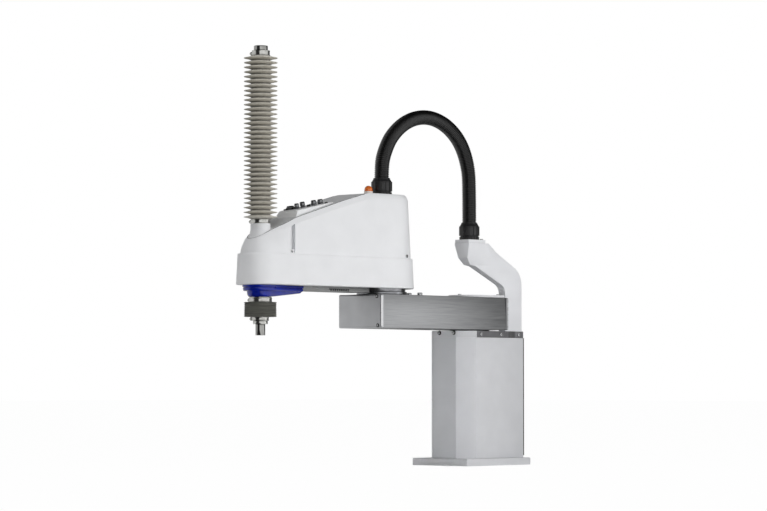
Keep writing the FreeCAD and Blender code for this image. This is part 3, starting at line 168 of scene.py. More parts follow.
def powder_coat(name, dark, light, low=0.34, high=0.44):
    """Baked powder coat on cast aluminium: an even satin white with a faint orange peel.
    The peel is really about 1 mm across and is drawn at 3 mm, so that it shows at all."""
    return patterned(name, (dark, light), (low, high), (3, 2), (60, 2), (0.05, 0.5))


def brushed_aluminium(name, dark, light, stretch, low=0.30, high=0.46):
    """Aluminium brushed along its length: long fine scratches that spread reflections.
    The scratches are really 0.2 mm wide and are drawn at 1.6 mm."""
    return patterned(name, (dark, light), (low, high), (1.6, 4, stretch), None, (0.03, 0.35), 1.0)


def satin_aluminium(name, dark, light, low, high):
    """Bead-blasted and anodised aluminium: an even satin grey with slow changes of tone.
    The blasted grain is really 0.1 mm and is drawn at 1 mm."""
    return patterned(name, (dark, light), (low, high), (1, 2), (55, 1), (0.01, 0.3), 1.0)


def bright_steel(name, dark, light, low=0.12, high=0.22, stretch=(1, 1, 1)):
    """Ground and plated steel: nearly mirror-bright, with a slight bloom from handling."""
    return patterned(name, (dark, light), (low, high), (14, 3, stretch), metallic=1.0)


def moulded_plastic(name, dark, light, grain_mm=1.5, low=0.38, high=0.52, depth_mm=0.04, **sockets):
    """Injection-moulded plastic: even colour, a fine spark-eroded grain and soft gloss.
    The grain is really about 0.3 mm across and is drawn larger."""
    return patterned(name, (dark, light), (low, high), (grain_mm, 2), (25, 2), (depth_mm, 0.4), **sockets)


def paint_shade_in_roots(tree, shader, root_mm, crest_mm, share):
    """Painted shade in the roots of the folds: the base colour falls to a share of itself near the shaft."""
    place = add(tree, "ShaderNodeAttribute", attribute_name="rest_place").outputs["Vector"]
    for value, operation in (((SHAFT_X * MM, 0, 0), "SUBTRACT"), ((1, 1, 0), "MULTIPLY")):
        place = add(tree, "ShaderNodeVectorMath", {0: place, 1: value}, operation=operation).outputs["Vector"]
    reach = add(tree, "ShaderNodeVectorMath", {0: place}, operation="LENGTH").outputs["Value"]
    root_shade = ranged(tree, reach, (root_mm * MM, crest_mm * MM), (share, 1.0))
    links = {"Factor": 1.0, 6: shader.inputs["Base Color"].links[0].from_socket, 7: root_shade}
    shaded = add(tree, "ShaderNodeMix", links, data_type="RGBA", blend_type="MULTIPLY")
    tree.links.new(shaded.outputs[2], shader.inputs["Base Color"])


def coated_cloth(name, dark, light, band_mm, stretch, root_shade=(25.5, 36, 0.5)):
    """Folded bellows of coated cloth: matt, slightly mottled, with the wear lying along the folds and painted shade in
    their roots.
    Its pattern is kept in an attribute of the mesh that holds each point's place."""
    material, tree, shader = surface(name, light, 0.7, Sheen_Weight=0.15)
    tint(tree, shader, object_noise(tree, band_mm, 4, stretch, "rest_place"), dark, light)
    # painted shade: the colour darkens towards the roots of the folds
    paint_shade_in_roots(tree, shader, *root_shade)
    grain = object_noise(tree, 1.2, 2, (1, 1, 1), "rest_place")
    rough(tree, shader, grain, 0.58, 0.75)
    bump(tree, shader, grain, 0.05, 0.4)
    return material


WHITE_PAINT = powder_coat("white_powder_coat", "#EDEEF0", "#F1F2F4")
BASE_PAINT = powder_coat("column_powder_coat", "#CDCED1", "#D3D4D7")
DUCT_PAINT = powder_coat("duct_powder_coat", "#E8E9EC", "#EEEFF2")
WEDGE_PAINT = powder_coat("panel_powder_coat", "#F6F7F8", "#F9F9FA")
STRIP_PAINT = powder_coat("grey_strip_coat", "#58585A", "#67676A", 0.4, 0.5)
VENT_PAINT = powder_coat("grey_vent_coat", "#8A8B8B", "#989999", 0.4, 0.5)
# the dark joints in the flange's strips, and a stretch of painted shade beside them
JOINT_AND_SHADE_PAINT = powder_coat("strip_joint_and_painted_shade_coat", "#3C3C3D", "#484849", 0.4, 0.5)
PANEL_PAINT = powder_coat("black_panel_coat", "#0A0A0B", "#101011")
MOTOR_PAINT = powder_coat("motor_black_coat", "#1B1B1D", "#26262A", 0.35, 0.45)
BEAM_METAL = brushed_aluminium("beam_brushed_aluminium", "#8F9092", "#A9AAAB", (45, 1, 1))
FLANGE_METAL = brushed_aluminium("turned_flange", "#77787B", "#9C9DA0", (12, 12, 1), 0.14, 0.26)
FRAME_METAL = brushed_aluminium("machined_frame", "#9C9D9F", "#B4B5B6", (5, 1, 1))
CAP_METAL = satin_aluminium("cap_satin_aluminium", "#B9BABC", "#C3C4C6", 0.42, 0.5)
# lighter metal on the caps' upright edges: a painted highlight
CAP_HIGHLIGHT_METAL = bright_steel("cap_edge_painted_highlight", "#CDCECF", "#DADADB", 0.24, 0.32)
SCREW_METAL = bright_steel("zinc_plated_screws", "#9A9B9C", "#C4C5C6", 0.2, 0.3)
CLAMP_METAL = bright_steel("stainless_clamps", "#A3A39F", "#CBCBC7")
SHAFT_METAL = bright_steel("ground_shaft", "#8A8A87", "#ACACA9", 0.07, 0.13, (1, 1, 6))
FITTING_METAL = bright_steel("nickel_fittings", "#636466", "#8E8F91", 0.06, 0.12)
HOSE_PLASTIC = moulded_plastic("black_nylon_hose", "#070707", "#0C0C0D", 2.0, 0.24, 0.34, 0.02, IOR=1.62)
GLAND_PLASTIC = moulded_plastic("black_nylon_gland", "#151516", "#202021", 1.5, 0.34, 0.46)
PLUG_PLASTIC = moulded_plastic("black_socket_plastic", "#0D0D0E", "#161617")
BLUE_PLASTIC = moulded_plastic("blue_moulded_cover", "#001783", "#001F9C", 2.0, 0.12, 0.2, 0.02, IOR=1.52)
LAMP_ORANGE = moulded_plastic("orange_lens", "#D2611A", "#E0742A", 4.0, 0.08, 0.16, 0.02, Coat_Weight=0.5)
LAMP_WHITE = moulded_plastic("white_lens_base", "#DDD6CE", "#ECE6DF", 4.0, 0.12, 0.2, 0.02)
# a grey strip on the step of each flank's channel: painted shade
CHANNEL_SHADE_PAINT = moulded_plastic("channel_painted_shade", "#BDBEC2", "#C9CACE", 2.0, 0.5, 0.6)
# a dark grey strip along the cover's crisp edge: a painted shadow line
EDGE_SHADE_PAINT = moulded_plastic("edge_painted_shade", "#5A5B5E", "#66676A", 2.0, 0.5, 0.6)
BOARD_GREEN = moulded_plastic("green_board", "#123B22", "#1A5230", 3.0, 0.2, 0.3)
BELT_RUBBER = moulded_plastic("belt_rubber", "#121212", "#1B1B1B", 2.0, 0.6, 0.75)
# The last numbers of the first bellows set its painted shade in the roots of the folds.
BELLOWS_CLOTH = coated_cloth("grey_coated_bellows", "#CBC7BC", "#DDD9CE", 9, (1, 1, 0.5), (25.5, 31, 0.34))
BELLOWS_DARK = coated_cloth("folded_dark_bellows", "#4B4B45", "#95958B", 3.2, (14, 14, 1))


# Mesh helpers

def linked(name, data):
    """A new object in the scene."""
    made = bpy.data.objects.new(name, data)
    bpy.context.scene.collection.objects.link(made)
    return made


def repainted(data, material):
    data.materials.clear()
    data.materials.append(material)


def mesh_object(name, points, faces, material):
    """A mesh made from points in millimetres."""
    mesh = bpy.data.meshes.new(name)
    mesh.from_pydata([Vector(p) * MM for p in points], [], faces)
    mesh.validate()
    mesh.materials.append(material)
    for face in mesh.polygons:
        face.use_smooth = True
    return linked(name, mesh)


@contextlib.contextmanager
def edited(made):
    """The object's mesh to work on, put back afterwards."""
    bm = bmesh.new()
    bm.from_mesh(made.data)
    yield bm
    bm.to_mesh(made.data)
    bm.free()


def outward(made):
    """Merges doubles and turns the faces outwards."""
    with edited(made) as bm:
        bmesh.ops.remove_doubles(bm, verts=bm.verts, dist=0.005 * MM)
        bmesh.ops.recalc_face_normals(bm, faces=bm.faces)
    return made


def sharp_above(made, degrees):
    """Smooth shading, with edges sharper than the angle kept crisp."""
    limit = math.radians(degrees)
    with edited(made) as bm:
        for face in bm.faces:
            face.smooth = True
        for edge in bm.edges:
            edge.smooth = len(edge.link_faces) == 2 and edge.calc_face_angle(0) < limit
    return made


def evaluated_mesh(made):
    """The mesh that the object's modifiers make."""
    depsgraph = bpy.context.evaluated_depsgraph_get()
    return bpy.data.meshes.new_from_object(made.evaluated_get(depsgraph), depsgraph=depsgraph)


def bevelled(made, width_mm, segments, crisp_degrees):
    """Real roundings on the edges of more than 30 degrees."""
    bevel = made.modifiers.new("edges", "BEVEL")
    bevel.width = width_mm * MM
    bevel.segments = segments
    bevel.limit_method = "ANGLE"
    bevel.angle_limit = math.radians(30)
    mesh = evaluated_mesh(made)
    made.modifiers.clear()
    made.data = mesh
    return sharp_above(made, crisp_degrees)


def circle(radius, z, steps, x=0, y=0):
    """Points round a level circle."""
    turns = [2 * math.pi * i / steps for i in range(steps)]
    return [(x + radius * math.cos(a), y + radius * math.sin(a), z) for a in turns]


def ring_shell(name, loops, material, closed_ends=True):
    """Quads between closed loops of points, with a flat face on each end."""
    count = len(loops[0])
    last = (len(loops) - 1) * count
    faces = [
        (row + i, row + (i + 1) % count, row + count + (i + 1) % count, row + count + i)
        for row in range(0, last, count) for i in range(count)
    ]
    if closed_ends:
        faces += [tuple(reversed(range(count))), tuple(range(last, last + count))]
    return mesh_object(name, [p for loop in loops for p in loop], faces, material)


def solid(name, loops, material, crisp_degrees):
    """A closed piece between loops, with its sharp edges kept crisp."""
    return sharp_above(outward(ring_shell(name, loops, material)), crisp_degrees)


def lathe(name, profile, centre, material, steps=72):
    """A turned piece: profile of (radius, z), round a vertical axis at centre (x, y), in millimetres."""
    return solid(name, [circle(r, z, steps, *centre) for r, z in profile], material, 32)


def rounded(points, radius):
    """The open profile with its inner corners rounded, in two steps."""
    out = [points[0]]
    for b, h, a in zip(*(map(Vector, points[k:]) for k in range(3))):
        reach = min(radius, (b - h).length * 0.45, (a - h).length * 0.45)
        start, end = h + (b - h).normalized() * reach, h + (a - h).normalized() * reach
        for t in (0.0, 0.5, 1.0):
            out.append(tuple(start * (1 - t) ** 2 + h * 2 * t * (1 - t) + end * t ** 2))
    return out + [points[-1]]


def rounded_block(name, corner, other, radius, material, segments=2):
    """A block between two opposite corners, in millimetres, with rounded edges."""
    xs, ys, zs = (sorted(pair) for pair in zip(corner, other))
    faces = [(0, 2, 3, 1), (4, 5, 7, 6), (0, 1, 5, 4), (2, 6, 7, 3), (0, 4, 6, 2), (1, 3, 7, 5)]
    made = mesh_object(name, [(x, y, z) for z in zs for y in ys for x in xs], faces, material)
    return bevelled(outward(made), radius, segments, 40)


def joined(name, parts, crisp_degrees=None):
    """Several objects of one material as one."""
    bm = bmesh.new()
    for part in parts:
        bm.from_mesh(part.data)
    mesh = bpy.data.meshes.new(name)
    bm.to_mesh(mesh)
    bm.free()
    for material in parts[0].data.materials:
        mesh.materials.append(material)
    made = linked(name, mesh)
    for part in parts:
        bpy.data.objects.remove(part)
    return sharp_above(made, crisp_degrees) if crisp_degrees else made


def body_name(node):
    return next(b for b, names in frame["record"]["behaviour"]["bodies"].items() if node in names)


def stand_in(made, node):
    """The piece takes the node's place on its body."""
    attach(made, body_name(node))
    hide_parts(node)
    return made


def dress(made, body):
    """A small piece of its own that rides on a body."""
    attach(made, body)


def softened(node, material, width):
    """A copy of the CAD node with small real roundings on its edges, in its place."""
    made = linked(node + "_finished", NODES[node].data.copy())
    repainted(made.data, material)
    with edited(made) as bm:
        bmesh.ops.remove_doubles(bm, verts=bm.verts, dist=0.01 * MM)
        bmesh.ops.dissolve_limit(bm, angle_limit=math.radians(1), verts=bm.verts, edges=bm.edges)
    stand_in(bevelled(made, width, 2, 35), node)


# Geometry Nodes

def new_tree(name, **inputs):
    """A Geometry Nodes tree with named inputs; gives the tree, what it is given and its output node."""
    tree = bpy.data.node_groups.new(name, "GeometryNodeTree")
    for label, kind in {"Geometry": "Geometry", **inputs, "Material": "Material"}.items():
        tree.interface.new_socket(label, in_out="INPUT", socket_type="NodeSocket" + kind)
    tree.interface.new_socket("Geometry", in_out="OUTPUT", socket_type="NodeSocketGeometry")
    return tree, tree.nodes.new("NodeGroupInput").outputs, tree.nodes.new("NodeGroupOutput")


def finish_tree(tree, given, end, geometry):
    """Real meshes with the material that the tree is given."""
    for kind, links in (
        ("RealizeInstances", {}), ("MergeByDistance", {"Distance": 0.01 * MM}),
        ("SetMaterial", {"Material": given["Material"]}),
    ):
        geometry = add(tree, "GeometryNode" + kind, {"Geometry": geometry, **links}).outputs["Geometry"]
    tree.links.new(geometry, end.inputs["Geometry"])
    return tree


def copies(tree, given, points, **links):
    """Copies of the given piece on points."""
    piece = add(tree, "GeometryNodeObjectInfo", {"Object": given["Piece"]}).outputs["Geometry"]
    links = {"Points": points, "Instance": piece, **links}
    return add(tree, "GeometryNodeInstanceOnPoints", links).outputs["Instances"]


def row_tree():
    """Copies of a piece in a straight row up Z."""
    tree, given, end = new_tree("pieces_in_a_row", Piece="Object", Count="Int", Pitch="Float", Foot="Vector")
    step = add(tree, "ShaderNodeCombineXYZ", {"Z": given["Pitch"]}).outputs["Vector"]
    links = {"Count": given["Count"], "Start Location": given["Foot"], "Offset": step}
    line = add(tree, "GeometryNodeMeshLine", links).outputs["Mesh"]
    return finish_tree(tree, given, end, copies(tree, given, line))


def ring_tree():
    """Copies of a piece round a vertical axis, each turned to face outwards."""
    tree, given, end = new_tree(
        "pieces_in_a_ring", Piece="Object", Count="Int", Radius="Float", Centre="Vector",
    )
    links = {"Vertices": given["Count"], "Radius": given["Radius"]}
    ring = add(tree, "GeometryNodeMeshCircle", links).outputs["Mesh"]
    place = add(tree, "GeometryNodeInputPosition").outputs["Position"]
    turn = add(tree, "FunctionNodeAlignRotationToVector", {"Vector": place}, axis="X", pivot_axis="Z")
    placed = copies(tree, given, ring, Rotation=turn.outputs["Rotation"])
    moved = add(tree, "GeometryNodeTransform", {"Geometry": placed, "Translation": given["Centre"]})
    return finish_tree(tree, given, end, moved.outputs["Geometry"])


def scatter_tree():
    """Copies of a piece on a mesh's points, each standing along its point's facing."""
    tree, given, end = new_tree("pieces_on_points", Piece="Object")
    facing, size = (
        add(tree, "GeometryNodeInputNamedAttribute", {"Name": label}, data_type="FLOAT_VECTOR").outputs["Attribute"]
        for label in ("facing", "size")
    )
    turn = add(tree, "FunctionNodeAlignRotationToVector", {"Vector": facing}, axis="Z").outputs["Rotation"]
    return finish_tree(tree, given, end, copies(tree, given, given["Geometry"], Rotation=turn, Scale=size))


def hose_tree():
    """A corrugated tube along a curve: its radius rises and falls once every rib. The wave is cut off
    above and below, so that crests are broad and valleys narrow."""
    tree, given, end = new_tree("corrugated_tube", Crest="Float", Valley="Float", Steps="Int")
    index = add(tree, "GeometryNodeInputIndex").outputs["Index"]
    turn = maths(tree, "MULTIPLY", maths(tree, "DIVIDE", index, given["Steps"]), 2 * math.pi)
    wide = ranged(tree, maths(tree, "COSINE", turn), (-0.9, 0.25), (given["Valley"], given["Crest"]))
    outline = add(tree, "GeometryNodeCurvePrimitiveCircle", {"Resolution": 40, "Radius": 1.0}).outputs["Curve"]
    links = {"Curve": given["Geometry"], "Profile Curve": outline, "Fill Caps": True, "Scale": wide}
    tube = add(tree, "GeometryNodeCurveToMesh", links).outputs["Mesh"]
    smooth = add(tree, "GeometryNodeSetShadeSmooth", {"Geometry": tube})
    return finish_tree(tree, given, end, smooth.outputs["Geometry"])


TREES = {"row": row_tree(), "ring": ring_tree(), "scatter": scatter_tree(), "hose": hose_tree()}


def grown(name, tree_name, base, material, **inputs):
    """A plain mesh from a tree on a base object, with its inputs set by name."""
    inputs["Material"] = material
    carrier = base or mesh_object(name + "_base", [(0, 0, 0)], [], material)
    modifier = carrier.modifiers.new("grow", "NODES")
    modifier.node_group = TREES[tree_name]
    for item in modifier.node_group.interface.items_tree:
        if item.in_out == "INPUT" and item.name in inputs:
            modifier[item.identifier] = inputs[item.name]
    made = linked(name, evaluated_mesh(carrier))
    bpy.data.objects.remove(carrier)
    return made


# The hose

HOSE_ROUTE = [
    (350, 772), (350, 796), (345, 832), (313, 889), (249, 934), (172, 950),
    (97, 933), (35, 887), (3, 818), (0, 745), (0, 666),
]
HOSE_DIA = 39.5
RIB_PITCH, RIB_DEPTH, STEPS_PER_RIB = 4.9, 2.3, 8


def route_points(route, spacing):
    """Evenly spaced points along the smooth line that the route controls, in millimetres."""
    curve = bpy.data.curves.new("hose_line", "CURVE")
    curve.dimensions = "3D"
    curve.resolution_u = 24
    spline = curve.splines.new("NURBS")
    spline.points.add(len(route) - 1)
    for point, (x, z) in zip(spline.points, route):
        point.co = (x * MM, 0, z * MM, 1)
    spline.order_u = 3
    spline.use_endpoint_u = True
    line = bpy.data.objects.new("hose_line", curve)
    mesh = bpy.data.meshes.new_from_object(line)
    dense = [v.co / MM for v in mesh.vertices]
    bpy.data.objects.remove(line)
    along = [0.0]
    for a, b in zip(dense, dense[1:]):
        along.append(along[-1] + (b - a).length)
    count = round(along[-1] / spacing)
    out, k = [], 0
    for i in range(count + 1):
        want = along[-1] * i / count
        while k < len(dense) - 2 and along[k + 1] < want:
            k += 1
        t = (want - along[k]) / (along[k + 1] - along[k])
        out.append(dense[k].lerp(dense[k + 1], t))
    return out


def make_hose():
    """Corrugated nylon conduit between the two glands."""
    points = route_points(HOSE_ROUTE, RIB_PITCH / STEPS_PER_RIB)
    curve = bpy.data.curves.new("conduit_line", "CURVE")
    curve.dimensions = "3D"
    spline = curve.splines.new("POLY")
    spline.points.add(len(points) - 1)
    for slot, p in zip(spline.points, points):
        slot.co = (*(p * MM), 1)
    made = grown(
        "corrugated_hose", "hose", linked("conduit_line", curve), HOSE_PLASTIC, Crest=HOSE_DIA / 2 * MM,
        Valley=(HOSE_DIA / 2 - RIB_DEPTH) * MM, Steps=STEPS_PER_RIB,
    )
    stand_in(made, "conduit_hose")


make_hose()


# Cable glands

GLAND_COLLAR, GLAND_NUT, GLAND_NECK, GLAND_BORE = 27.2, 28.0, 24.5, 14
COLLAR_TALL = 11


def make_gland(node, x):
    """A ribbed nut over a notched collar, as on a conduit fitting."""
    low, high = box_mm(node)
    foot, top = low.z, high.z
    step = foot + COLLAR_TALL
    profile = [
        (GLAND_BORE, foot), (GLAND_COLLAR - 1.2, foot), (GLAND_COLLAR - 1.2, step - 2.5), (GLAND_NECK, step - 2),
        (GLAND_NECK, step), (GLAND_NUT - 1.3, step + 0.4), (GLAND_NUT - 1.3, top - 10), (22.6, top - 3.2),
        (22.2, top), (GLAND_BORE, top),
    ]
    parts = [lathe(node + "_core", rounded(profile, 0.7), (x, 0), GLAND_PLASTIC)]
    for label, count, r, z, wide, tall in (
        ("pads", 14, GLAND_NUT, step + 0.2, 9.4, top - 10.5 - step), ("teeth", 18, GLAND_COLLAR, foot, 6.2, 8.6),
    ):
        pad = rounded_block(label, (-2.4, -wide / 2, 0), (0, wide / 2, tall), 0.7, GLAND_PLASTIC)
        centre = (x * MM, 0, z * MM)
        parts.append(
            grown(node + label, "ring", None, GLAND_PLASTIC, Piece=pad, Count=count, Radius=r * MM, Centre=centre)
        )
        bpy.data.objects.remove(pad)
    stand_in(joined(node + "_finished", parts, 32), node)


make_gland("base_gland", SHOULDER_X)
make_gland("arm_2_gland", ELBOW_X)


# Bellows

BELLOWS_ROOT, BELLOWS_WALL, BELLOWS_MOUTH = 25.0, 1.0, 21.2
FOLDS = 35
FOLD_SLOPES = 0.9  # share of a fold's height that its two slopes take; the rest is its root
RIMS_PER_WAVE = 4.7


def fold_profile(pitch, crest, tip):
    """One fold from valley to valley: a pointed rim with straight sides and a short flat root."""
    root, rise, middle = BELLOWS_ROOT, crest - BELLOWS_ROOT, pitch / 2
    base = pitch * FOLD_SLOPES / 2
    half = [
        (root, 0), (root, middle - base), (root + 0.10 * rise, middle - base * 0.86),
        (root + 0.45 * rise, middle - base * 0.48), (root + 0.85 * rise, middle - tip * 1.7),
        (crest - 0.25, middle - tip), (crest, middle - tip * 0.4),
    ]
    return half + [(r, pitch - z) for r, z in reversed(half)]


def make_bellows(name, node, crest, tip, spread, material):
    """Equal folds in a row and a thin lining, with the folds then made a little uneven."""
    low, high = box_mm(node)
    pitch, steps = (high.z - low.z) / FOLDS, 96
    loops = [circle(r, z, steps) for r, z in fold_profile(pitch, crest, tip)]
    fold = ring_shell(name + "_fold", loops, material, closed_ends=False)
    foot = (SHAFT_X * MM, 0, low.z * MM)
    folds = grown(name + "_folds", "row", None, material, Piece=fold, Count=FOLDS, Pitch=pitch * MM, Foot=foot)
    bpy.data.objects.remove(fold)
    wall, inner, mouth = BELLOWS_WALL, BELLOWS_ROOT - BELLOWS_WALL, BELLOWS_MOUTH
    section = (
        (BELLOWS_ROOT, high.z), (mouth, high.z), (mouth, high.z - wall), (inner, high.z - wall),
        (inner, low.z + wall), (mouth, low.z + wall), (mouth, low.z), (BELLOWS_ROOT, low.z),
    )
    loops = [circle(r, z, steps, SHAFT_X) for r, z in section]
    lining = ring_shell(name + "_lining", loops, material, closed_ends=False)
    made = sharp_above(outward(joined(name, [folds, lining])), 50)
    uneven_folds(made, low.z, pitch, crest, spread)
    return made


def uneven_folds(made, foot, pitch, crest, spread):
    """Lets each rim stand out a little more or less than its neighbours, and keeps every point's place
    for the cloth's pattern."""
    draw = random.Random(FOLDS)
    shares = [0.55 * math.sin(2 * math.pi * k / RIMS_PER_WAVE) + draw.uniform(-0.45, 0.45) for k in range(FOLDS)]
    places = made.data.attributes.new("rest_place", "FLOAT_VECTOR", "POINT")
    for vertex, place in zip(made.data.vertices, places.data):
        x, y, z = vertex.co / MM
        r = math.hypot(x - SHAFT_X, y)
        k = min(FOLDS - 1, max(0, int((z - foot) / pitch)))
        grow = spread * shares[k] * max(0, r - BELLOWS_ROOT) / (crest - BELLOWS_ROOT) / r
        vertex.co.x += (x - SHAFT_X) * grow * MM
        vertex.co.y += y * grow * MM
        place.vector = vertex.co


def make_upper_bellows():
    made = make_bellows("stretched_bellows", "upper_bellows", 43.3, 0.6, 0.3, BELLOWS_CLOTH)
    stand_in(made, "upper_bellows")
    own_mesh(made)


def make_lower_bellows():
    made = make_bellows("folded_bellows", "lower_bellows", 41.4, 0.24, 1.2, BELLOWS_DARK)
    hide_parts("lower_bellows")
    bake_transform(made)


make_upper_bellows()
make_lower_bellows()


# Covers of the second arm. Tables are of (height or place along X, value) unless they say otherwise.

COVER_FOOT = 555.0
COVER_REAR = ((555, 77.6), (725, 69.3))
COVER_NOSE = ((555, 51.7), (725, 43.4))
COVER_LEAN = math.asin((COVER_REAR[0][1] - COVER_NOSE[0][1]) / (SHAFT_X - ELBOW_X))
HULL_STEPS_NOSE, HULL_STEPS_REAR = 40, 48
# How far the nose's shoulder comes in from the drafted wall, by height, and where along X it grows.
SHOULDER = ((555, 0), (564, 0.7), (575, 3.5), (587, 8.1), (598, 13.6), (606, 18.2), (660, 17), (725, 14.4))
SHOULDER_GROWS = (742.0, 794.0)
SLOPE = ((300, 725), (440, 725), (462, 723.6), (549, 701), (720, 649), (812, 606), (838, 592.6))
# The edge round the top, in shares of EDGE_ROUND: how far in, and how far below the top. The flat
# top's edge is round. The sloping top's is a slanted band with a crisp upper edge and a fine joint.
EDGE_ROUND = 14.0
ROUND_EDGE = (
    (0.02, 0.84), (0.07, 0.68), (0.15, 0.51), (0.25, 0.34), (0.36, 0.19), (0.47, 0.075), (0.53, 0.02), (0.58, 0.0),
    (0.62, 0.0), (0.66, 0.0), (0.72, 0.0),
)
BAND = ((0.01, 0.93), (0.04, 0.84), (0.10, 0.70), (0.18, 0.52), (0.27, 0.33), (0.36, 0.13), (0.42, 0.0), (0.47, 0.0))
SLANTED_EDGE = BAND + ((0.48, 0.17), (0.62, 0.17), (0.63, 0.0))
NOSE_EDGE = BAND + ((0.50, 0.40), (0.76, 0.40), (0.78, 0.0))
SLANT_GROWS = (432.0, 470.0)
WALL_SHARES = (0, 0.006, 0.02, 0.03, 0.08, 0.14, 0.2, 0.28, 0.36, 0.46, 0.56, 0.66, 0.76, 0.86, 0.94, 1.0)
CRISP_STEP = 7  # the step of the edge at which its slanted band meets the top
# The section of the painted shadow line along the crisp edge:
EDGE_SHADE_SECTION = ((0.35, -1.1), (0.1, 0.35), (-1.2, 0.35), (-1.2, -1.1))  # out from the wall, and up
# The upright channel in each flank: its depth along X, the heights between which it starts and
# ends, and how far it moves back for each millimetre up, so that it looks upright on the leaning wall.
GROOVE = (
    (730.0, 0.0), (730.5, 9.6), (731.8, 9.8), (734.0, 8.4), (737.5, 6.0), (741.0, 3.6), (745.0, 1.4), (749.0, 0.0),
)
GROOVE_LOW, GROOVE_BOTTOM, GROOVE_TOP, GROOVE_HIGH, GROOVE_LEAN = 557.0, 560.0, 626.0, 634.0, 0.05


def hull_spokes(rear_r, nose_r, flank_xs):
    """Directions round the outline of two circles and their tangents. Each is (end, place, nx, ny):
    on an end circle, end is its share of the middle line; on a flank, end is None and place is X."""
    lean = math.asin((rear_r - nose_r) / (SHAFT_X - ELBOW_X))
    half_turn = math.pi / 2 - lean
    nx, ny = math.sin(lean), math.cos(lean)
    places = sorted(flank_xs, reverse=True)

    def end_spokes(end, start, turn, steps):
        angles = [start + turn * i / steps for i in range(steps + 1)]
        return [(end, 0, math.cos(a), math.sin(a)) for a in angles]

    return (
        end_spokes(1.0, -half_turn, 2 * half_turn, HULL_STEPS_NOSE) + [(None, x, nx, ny) for x in places]
        + end_spokes(0.0, half_turn, 2 * math.pi - 2 * half_turn, HULL_STEPS_REAR)
        + [(None, x, nx, -ny) for x in reversed(places)]
    )


def spoke_share(spoke, rear_r, nose_r):
    """Where a spoke starts on the middle line, as a share from the second axis to the shaft axis."""
    end, x, nx, _ny = spoke
    if end is not None:
        return end
    return (x - ELBOW_X - nx * rear_r) / (SHAFT_X - ELBOW_X + nx * (nose_r - rear_r))


def spoke_point(spoke, rear_r, nose_r, inset, z):
    """The outline's point at a spoke, drawn in by the inset."""
    share = spoke_share(spoke, rear_r, nose_r)
    r = rear_r + share * (nose_r - rear_r) - inset
    return (ELBOW_X + share * (SHAFT_X - ELBOW_X) + spoke[2] * r, spoke[3] * r, z)


def blend_between(table, place):
    """The value at a place in a table, with straight steps between its rows."""
    for (a, low), (b, high) in zip(table, table[1:]):
        if place <= b:
            return low + (high - low) * max(0, place - a) / (b - a)
    return table[-1][1]


def cover_radii(z):
    return blend_between(COVER_REAR, z), blend_between(COVER_NOSE, z)


def eased(value, start, end):
    """A smooth rise from 0 at start to 1 at end."""
    t = min(1.0, max(0.0, (value - start) / (end - start)))
    return t * t * (3 - 2 * t)


def grown_share(spoke, along):
    """The share of a form that grows along the flanks and is whole round the nose."""
    return spoke[0] if spoke[0] is not None else eased(spoke[1], *along)


def shoulder_at(spoke, z):
    """How far a wall has come in at a height, on the round nose and the flanks beside it."""
    return grown_share(spoke, SHOULDER_GROWS) * blend_between(SHOULDER, z)


def edge_band(spoke):
    """The edge's profile at a spoke, between the round and the slanted one."""
    slant, nose = grown_share(spoke, SLANT_GROWS), grown_share(spoke, SHOULDER_GROWS)
    return [
        tuple(u + (v - u) * slant + (w - v) * nose for u, v, w in zip(*steps))
        for steps in zip(ROUND_EDGE, SLANTED_EDGE, NOSE_EDGE)
    ]


def groove_at(spoke, z):
    """Depth of the upright channel in each flank."""
    if spoke[0] is not None or not GROOVE[0][0] < spoke[1] < GROOVE[-1][0]:
        return 0.0
    foot = min(1.0, max(0.0, (z - GROOVE_LOW) / (GROOVE_BOTTOM - GROOVE_LOW)))
    return blend_between(GROOVE, spoke[1]) * foot * (1 - eased(z, GROOVE_TOP, GROOVE_HIGH))


def leaned(spoke, point, z):
    """A point of the channel's spokes, moved along the wall for its height; other points stay."""
    x, y = point[:2]
    if spoke[0] is None and GROOVE[0][0] <= spoke[1] <= GROOVE[-1][0]:
        shift = -GROOVE_LEAN * max(0.0, z - GROOVE_LOW)
        x, y = x + shift, y - shift * spoke[2] / spoke[3]
    return x, y


def cover_column(spoke):
    """The cover's points at a spoke, from inside its foot, up its wall and over its top."""
    z_edge = 650.0
    for _ in range(12):
        x = spoke_point(spoke, *cover_radii(z_edge), shoulder_at(spoke, z_edge), 0)[0]
        z_edge = 0.5 * z_edge + 0.5 * blend_between(SLOPE, x)
    rear, nose = cover_radii(z_edge)
    shoulder = shoulder_at(spoke, z_edge)
    reach = rear + spoke_share(spoke, rear, nose) * (nose - rear) - shoulder
    radius = min(EDGE_ROUND, reach * 0.3, (z_edge - COVER_FOOT) * 0.3) * (1 - 0.55 * grown_share(spoke, SHOULDER_GROWS))
    inner = spoke_point(spoke, COVER_REAR[0][1], COVER_NOSE[0][1], 3, COVER_FOOT)
    column = [(inner[0], inner[1], COVER_FOOT + 12), inner]
    for t in WALL_SHARES:
        z = COVER_FOOT + t * (z_edge - radius - COVER_FOOT)
        wall = spoke_point(spoke, *cover_radii(z), groove_at(spoke, z) + shoulder_at(spoke, z), z)
        column.append((*leaned(spoke, wall, z), z))
    band = edge_band(spoke)
    for k, (across, down) in enumerate(band, 1):
        z = z_edge - radius * down
        inset = radius * across + shoulder_at(spoke, z) + groove_at(spoke, z_edge) * max(0, 1 - k / CRISP_STEP)
        x, y = leaned(spoke, spoke_point(spoke, rear, nose, inset, 0), z)
        column.append((x, y, blend_between(SLOPE, x) - radius * down))
    edge_inset = radius * band[-1][0]
    for k in range(1, 7):
        inset = shoulder + edge_inset + (reach - edge_inset) * k / 6
        x, y, _z = spoke_point(spoke, rear, nose, inset, 0)
        column.append((x, y, blend_between(SLOPE, x)))
    return column


